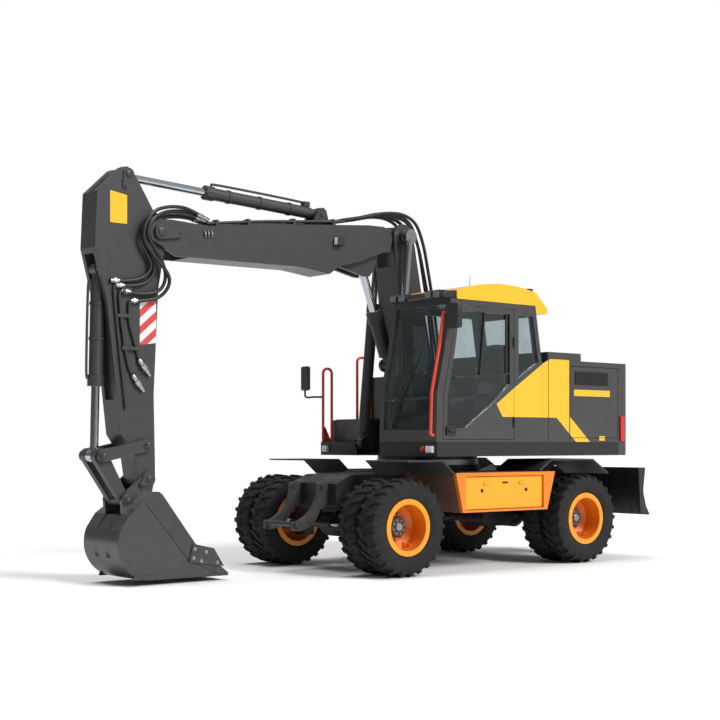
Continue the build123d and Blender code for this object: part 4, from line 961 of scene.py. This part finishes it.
PIPE_Y = BOOM_Y + 0.172
CLAMP_Y = BOOM_Y + 0.149
arm_pipes = Batch("arm_pipes", charcoal, "arm", "charcoal_paint")
for radius, places in (
    (0.016, ((4.03, 2.835), (4.045, 2.80), (4.04, 2.62), (3.99, 2.45), (3.93, 2.24))),
    (0.016, ((4.137, 2.93), (4.155, 2.86), (4.115, 2.5), (4.055, 2.2), (4.00, 2.08))),
    (0.013, ((4.20, 2.975), (4.215, 2.92), (4.17, 2.5), (4.08, 1.75))),
):
    arm_pipes.hose(upright(places, PIPE_Y), radius, 12, 4)
for x, z in ((4.09, 2.68), (4.035, 2.36)):
    arm_pipes.box((x - 0.09, x + 0.1), (CLAMP_Y, PIPE_Y + 0.02), (z - 0.017, z + 0.017))
arm_pipes.box((4.03, 4.13), (CLAMP_Y, PIPE_Y + 0.03), (2.90, 2.96))
arm_pipes.done()
coupler = [(-0.02, 0.016), (0.0, 0.026), (0.045, 0.026), (0.05, 0.036), (0.105, 0.036), (0.112, 0.026),
           (0.15, 0.026), (0.155, 0.018), (0.19, 0.016), (0.19, 0)]
for x, z in ((3.93, 2.24), (4.00, 2.08)):
    arm_ends.lathe(at(x, PIPE_Y + 0.008, z), (-0.62, 0, -0.78), coupler, 20)
arm_ends.done()
board = Batch("marker_board", marker, "arm", "black_plastic", 0.002)
board.plate([(3.916, 2.82), (3.726, 2.863), (3.726, 2.428), (3.916, 2.399)], BOOM_Y + 0.1525, 0.004)
board.done()
blank = Batch("blank_plate", yellow, "arm", "yellow_paint", 0.002)
blank.plate([(4.058, 3.598), (4.249, 3.598), (4.249, 3.914), (4.058, 3.887)], BOOM_Y + 0.152, 0.003)
blank.done()


def keeper(batch, pin, toward, half, radius, length):
    """A pin's two ends, each with its keeper plate, which a bolt holds at its far end."""
    turn = math.atan2(toward[1], toward[0])
    far = (pin[0] + math.cos(turn) * length, pin[1] + math.sin(turn) * length)
    outline = []
    for (x, z), start, size in ((pin, turn + math.pi / 2, radius), (far, turn - math.pi / 2, radius * 0.6)):
        for k in range(9):
            a = start + math.pi * k / 8
            outline.append((x + math.cos(a) * size, z + math.sin(a) * size))
    cap = [(0, radius * 0.62), (0.012, radius * 0.62), (0.016, radius * 0.5), (0.016, 0)]
    for sign in (-1, 1):
        y = BOOM_Y + sign * half
        outward = Vector((0, sign, 0))
        batch.plate(outline, y + sign * 0.007, 0.014)
        batch.lathe(at(pin[0], y + sign * 0.013, pin[1]), outward, cap, 28)
        batch.bolt(at(far[0], y + sign * 0.014, far[1]), outward, 0.016, 0.014)


for name, body, pins in (
    ("tip_keepers", "upper_boom", ((ARM_PIN, (-1, 0.02), 0.216, 0.075, 0.22),)),
    ("arm_pins", "arm", (
        (ARM_ROD_PIN, (0.3, -1), 0.150, 0.060, 0.13),
        (GUIDE_PIN, (0.1, 1), 0.205, 0.050, 0.0),
    )),
    ("bucket_pins", "bucket", (
        (BUCKET_PIN, (1, -0.7), 0.205, 0.052, 0.10),
        (BUCKET_LINK_PIN, (-1, 0.7), 0.205, 0.044, 0.0),
    )),
    ("guide_pins", "guide_links", ((BUCKET_ROD_PIN, (-1, 0.2), 0.205, 0.046, 0.0),)),
):
    batch = Batch(name, charcoal, body, "charcoal_paint", 0.002)
    for pin in pins:
        keeper(batch, *pin)
    batch.done()
block_piece("boom_lamp", plastic, "upper_boom", "black_plastic", 0.006,
            ((1.36, 1.46), (BOOM_Y + 0.19, BOOM_Y + 0.26), (3.62, 3.72)))
block_piece("boom_lamp_lens", lens_clear, "upper_boom", "lamp_plastic", 0.003,
            ((1.46, 1.467), (BOOM_Y + 0.2, BOOM_Y + 0.25), (3.63, 3.71)))

# Cylinders, by their two pins: feed pipes, bands round the barrels, gland bolts
ARM_CYLINDER = ((1.554, 3.981), ARM_ROD_PIN)
BUCKET_CYLINDER = ((4.30, 3.15), BUCKET_ROD_PIN)


def heading_of(pins):
    """The unit direction from a cylinder's first pin to its second."""
    return (Vector((pins[1][0], 0, pins[1][1])) - Vector((pins[0][0], 0, pins[0][1]))).normalized()


def beside(pins, distance, off=0.0):
    """A point this far along a cylinder and this far off its middle line, in the boom's plane."""
    heading = heading_of(pins)
    square = Vector((-heading.z, 0, heading.x))
    return at(pins[0][0], BOOM_Y, pins[0][1]) + heading * distance + square * off


def feed_pipe(name, body, pins, places, radius, bands, band_radii):
    """A pipe along a cylinder, through these places along and off it, and bands round the barrel."""
    batch = Batch(name, charcoal, body, "charcoal_paint")
    batch.hose([beside(pins, *place) for place in places], radius, 10, 4)
    inner, outer = band_radii
    band = [(-0.015, inner), (-0.015, outer), (0.015, outer), (0.015, inner)]
    for distance in bands:
        batch.lathe(beside(pins, distance), heading_of(pins), band, 28, ring=True)
    return batch


feeds = feed_pipe("arm_cylinder_pipes", "arm_barrel", ARM_CYLINDER,
                  ((0.15, 0.07), (0.22, 0.105), (1.3, 0.105), (1.42, 0.085)), 0.014,
                  (0.4, 0.8, 1.2), (0.060, 0.073))
feeds.box((1.68, 1.76), (BOOM_Y - 0.035, BOOM_Y + 0.035), (4.052, 4.105))
feeds.done()
gland = Batch("gland_bolts", steel, "arm_barrel", "worn_steel")
gland.ring_of_bolts(beside(ARM_CYLINDER, 1.5), heading_of(ARM_CYLINDER), 0.061, 8, 0.007, 0.008)
gland.done()
feed_pipe("bucket_cylinder_pipe", "bucket_barrel", BUCKET_CYLINDER,
          ((0.15, 0.08), (0.2, 0.105), (1.0, 0.105), (1.1, 0.085)), 0.013,
          (0.35, 0.7), (0.064, 0.078)).done()

# Body: grilles, seams, rear quarter, tank cap, treads, gusset and deck lamps
for name, body, sign in (
    ("side_grilles", "left_service_door", 1),
    ("right_grille", "right_service_door", -1),
):
    grille = Batch(name, black, body, "black_paint", 0.001)
    grille.box((-1.809, -1.206), (sign * (BODY_SIDE - 0.0005), sign * (BODY_SIDE + 0.0035)), (2.10, 2.26))
    for k in range(12):
        z = 2.108 + k * 0.0125
        grille.box((-1.80, -1.215), (sign * (BODY_SIDE + 0.003), sign * (BODY_SIDE + 0.010)), (z, z + 0.0055))
    grille.done()
seams = Batch("panel_seams", black, "upper_body", "black_paint")
for x in (-0.7585, -1.12):
    for sign in (-1, 1):
        seams.box((x - 0.004, x + 0.004), (sign * (BODY_SIDE - 0.0005), sign * (BODY_SIDE + 0.0012)),
                  (1.44, 2.38))
seams.done()
quarter = Batch("rear_quarter_panel", body_dark, "upper_body", "body_paint", 0.002)
quarter.plate([(-0.654, 1.432), (-0.654, 2.326), (-0.757, 2.378), (-0.757, 1.432)], 1.226, 0.027)
quarter.done()
tank_cap = Batch("tank_cap", plastic, "upper_body", "black_plastic", 0.004)
tank_cap.lathe(at(-0.42, -0.85, 2.24), (0, 0, 1), [(0, 0.07), (0.03, 0.07), (0.04, 0.06), (0.04, 0)], 32)
tank_cap.done()
block_piece("tread_plates", grey, "upper_body", "black_paint", 0.002,
            ((-0.04, 0.43), (-1.2, -0.6), (1.70, 1.708)),
            ((0.48, 0.63), (-1.15, -0.6), (1.43, 1.436)))
gusset = Batch("rail_gusset", red, "upper_body", "red_paint", 0.002)
gusset.plate([(0.505, 1.43), (0.64, 1.43), (0.64, 1.58), (0.62, 1.62), (0.60, 1.60), (0.525, 1.46)],
             -1.195, 0.012)
gusset.done()
block_piece("deck_lamps", lens_clear, "upper_body", "lamp_plastic", 0.004,
            ((1.013, 1.022), (1.09, 1.18), (1.318, 1.378)),
            ((0.668, 0.677), (-1.17, -1.09), (1.318, 1.378)))
deck_red = Batch("deck_markers", lens_red, "upper_body", "lamp_plastic", 0.003)
deck_red.lathe(at(0.985, 1.02, 1.348), (1, 0, 0), [(0, 0.034), (0.02, 0.034), (0.026, 0.026), (0.026, 0)], 28)
deck_red.done()

# Chassis and bucket: treads on the step boxes, latches, axle bolts, cutters and ribs
block_piece("step_treads", grey, "chassis", "black_paint", 0.002,
            *(((-0.80, 0.66), (sign * 0.74, sign * 1.235), (1.09, 1.098)) for sign in (-1, 1)))
latches = Batch("locker_latches", plastic, "locker_lid", "black_plastic", 0.003)
for x in (-0.40, 0.30):
    latches.lathe(at(x, 1.225, 0.89), (0, 1, 0), [(0, 0.022), (0.006, 0.022), (0.010, 0.017), (0.010, 0)], 24)
latches.box((-0.10, -0.02), (1.225, 1.235), (0.965, 0.985))
latches.done()
axle_bolts = Batch("axle_bolts", steel, "chassis", "worn_steel")
for x in (-AXLE_X, AXLE_X):
    for sign in (-1, 1):
        axle_bolts.ring_of_bolts(at(x, sign * 0.105, TYRE_RADIUS), (0, sign, 0), 0.128, 10, 0.009, 0.02)
axle_bolts.done()
cutter = Batch("side_cutters", charcoal, "bucket", "charcoal_paint", 0.003)
cutter_bolts = Batch("cutter_bolts", steel, "bucket", "worn_steel")
for sign in (-1, 1):
    y = BOOM_Y + sign * 0.35
    outward = Vector((0, sign, 0))
    cutter.plate([(3.995, 0.850), (3.46, 0.225), (3.12, 0.072), (2.99, 0.060), (3.385, 0.395), (3.78, 0.915)],
                 y + sign * 0.003, 0.008)
    cutter.plate([(4.10, 0.062), (4.085, 0.135), (3.12, 0.072), (2.99, 0.050)], y + sign * 0.003, 0.008)
    cutter.plate([(3.425, 0.395), (3.172, 0.339), (3.049, 0.147), (3.472, 0.212)], y + sign * 0.014, 0.018)
    for x, z in ((3.405, 0.341), (3.27, 0.305), (3.42, 0.25), (3.33, 0.215), (3.135, 0.19)):
        cutter_bolts.bolt(at(x, y + sign * 0.022, z), outward, 0.016, 0.012)
rib = ((4.253, 0.28), (4.263, 0.36), (4.256, 0.48), (4.235, 0.575), (4.14, 0.708))
for y in (-0.13, -0.10, 0.10, 0.13):
    cutter.sweep(upright(rib, BOOM_Y + y), 0.007, 8)
cutter.done()
cutter_bolts.done()
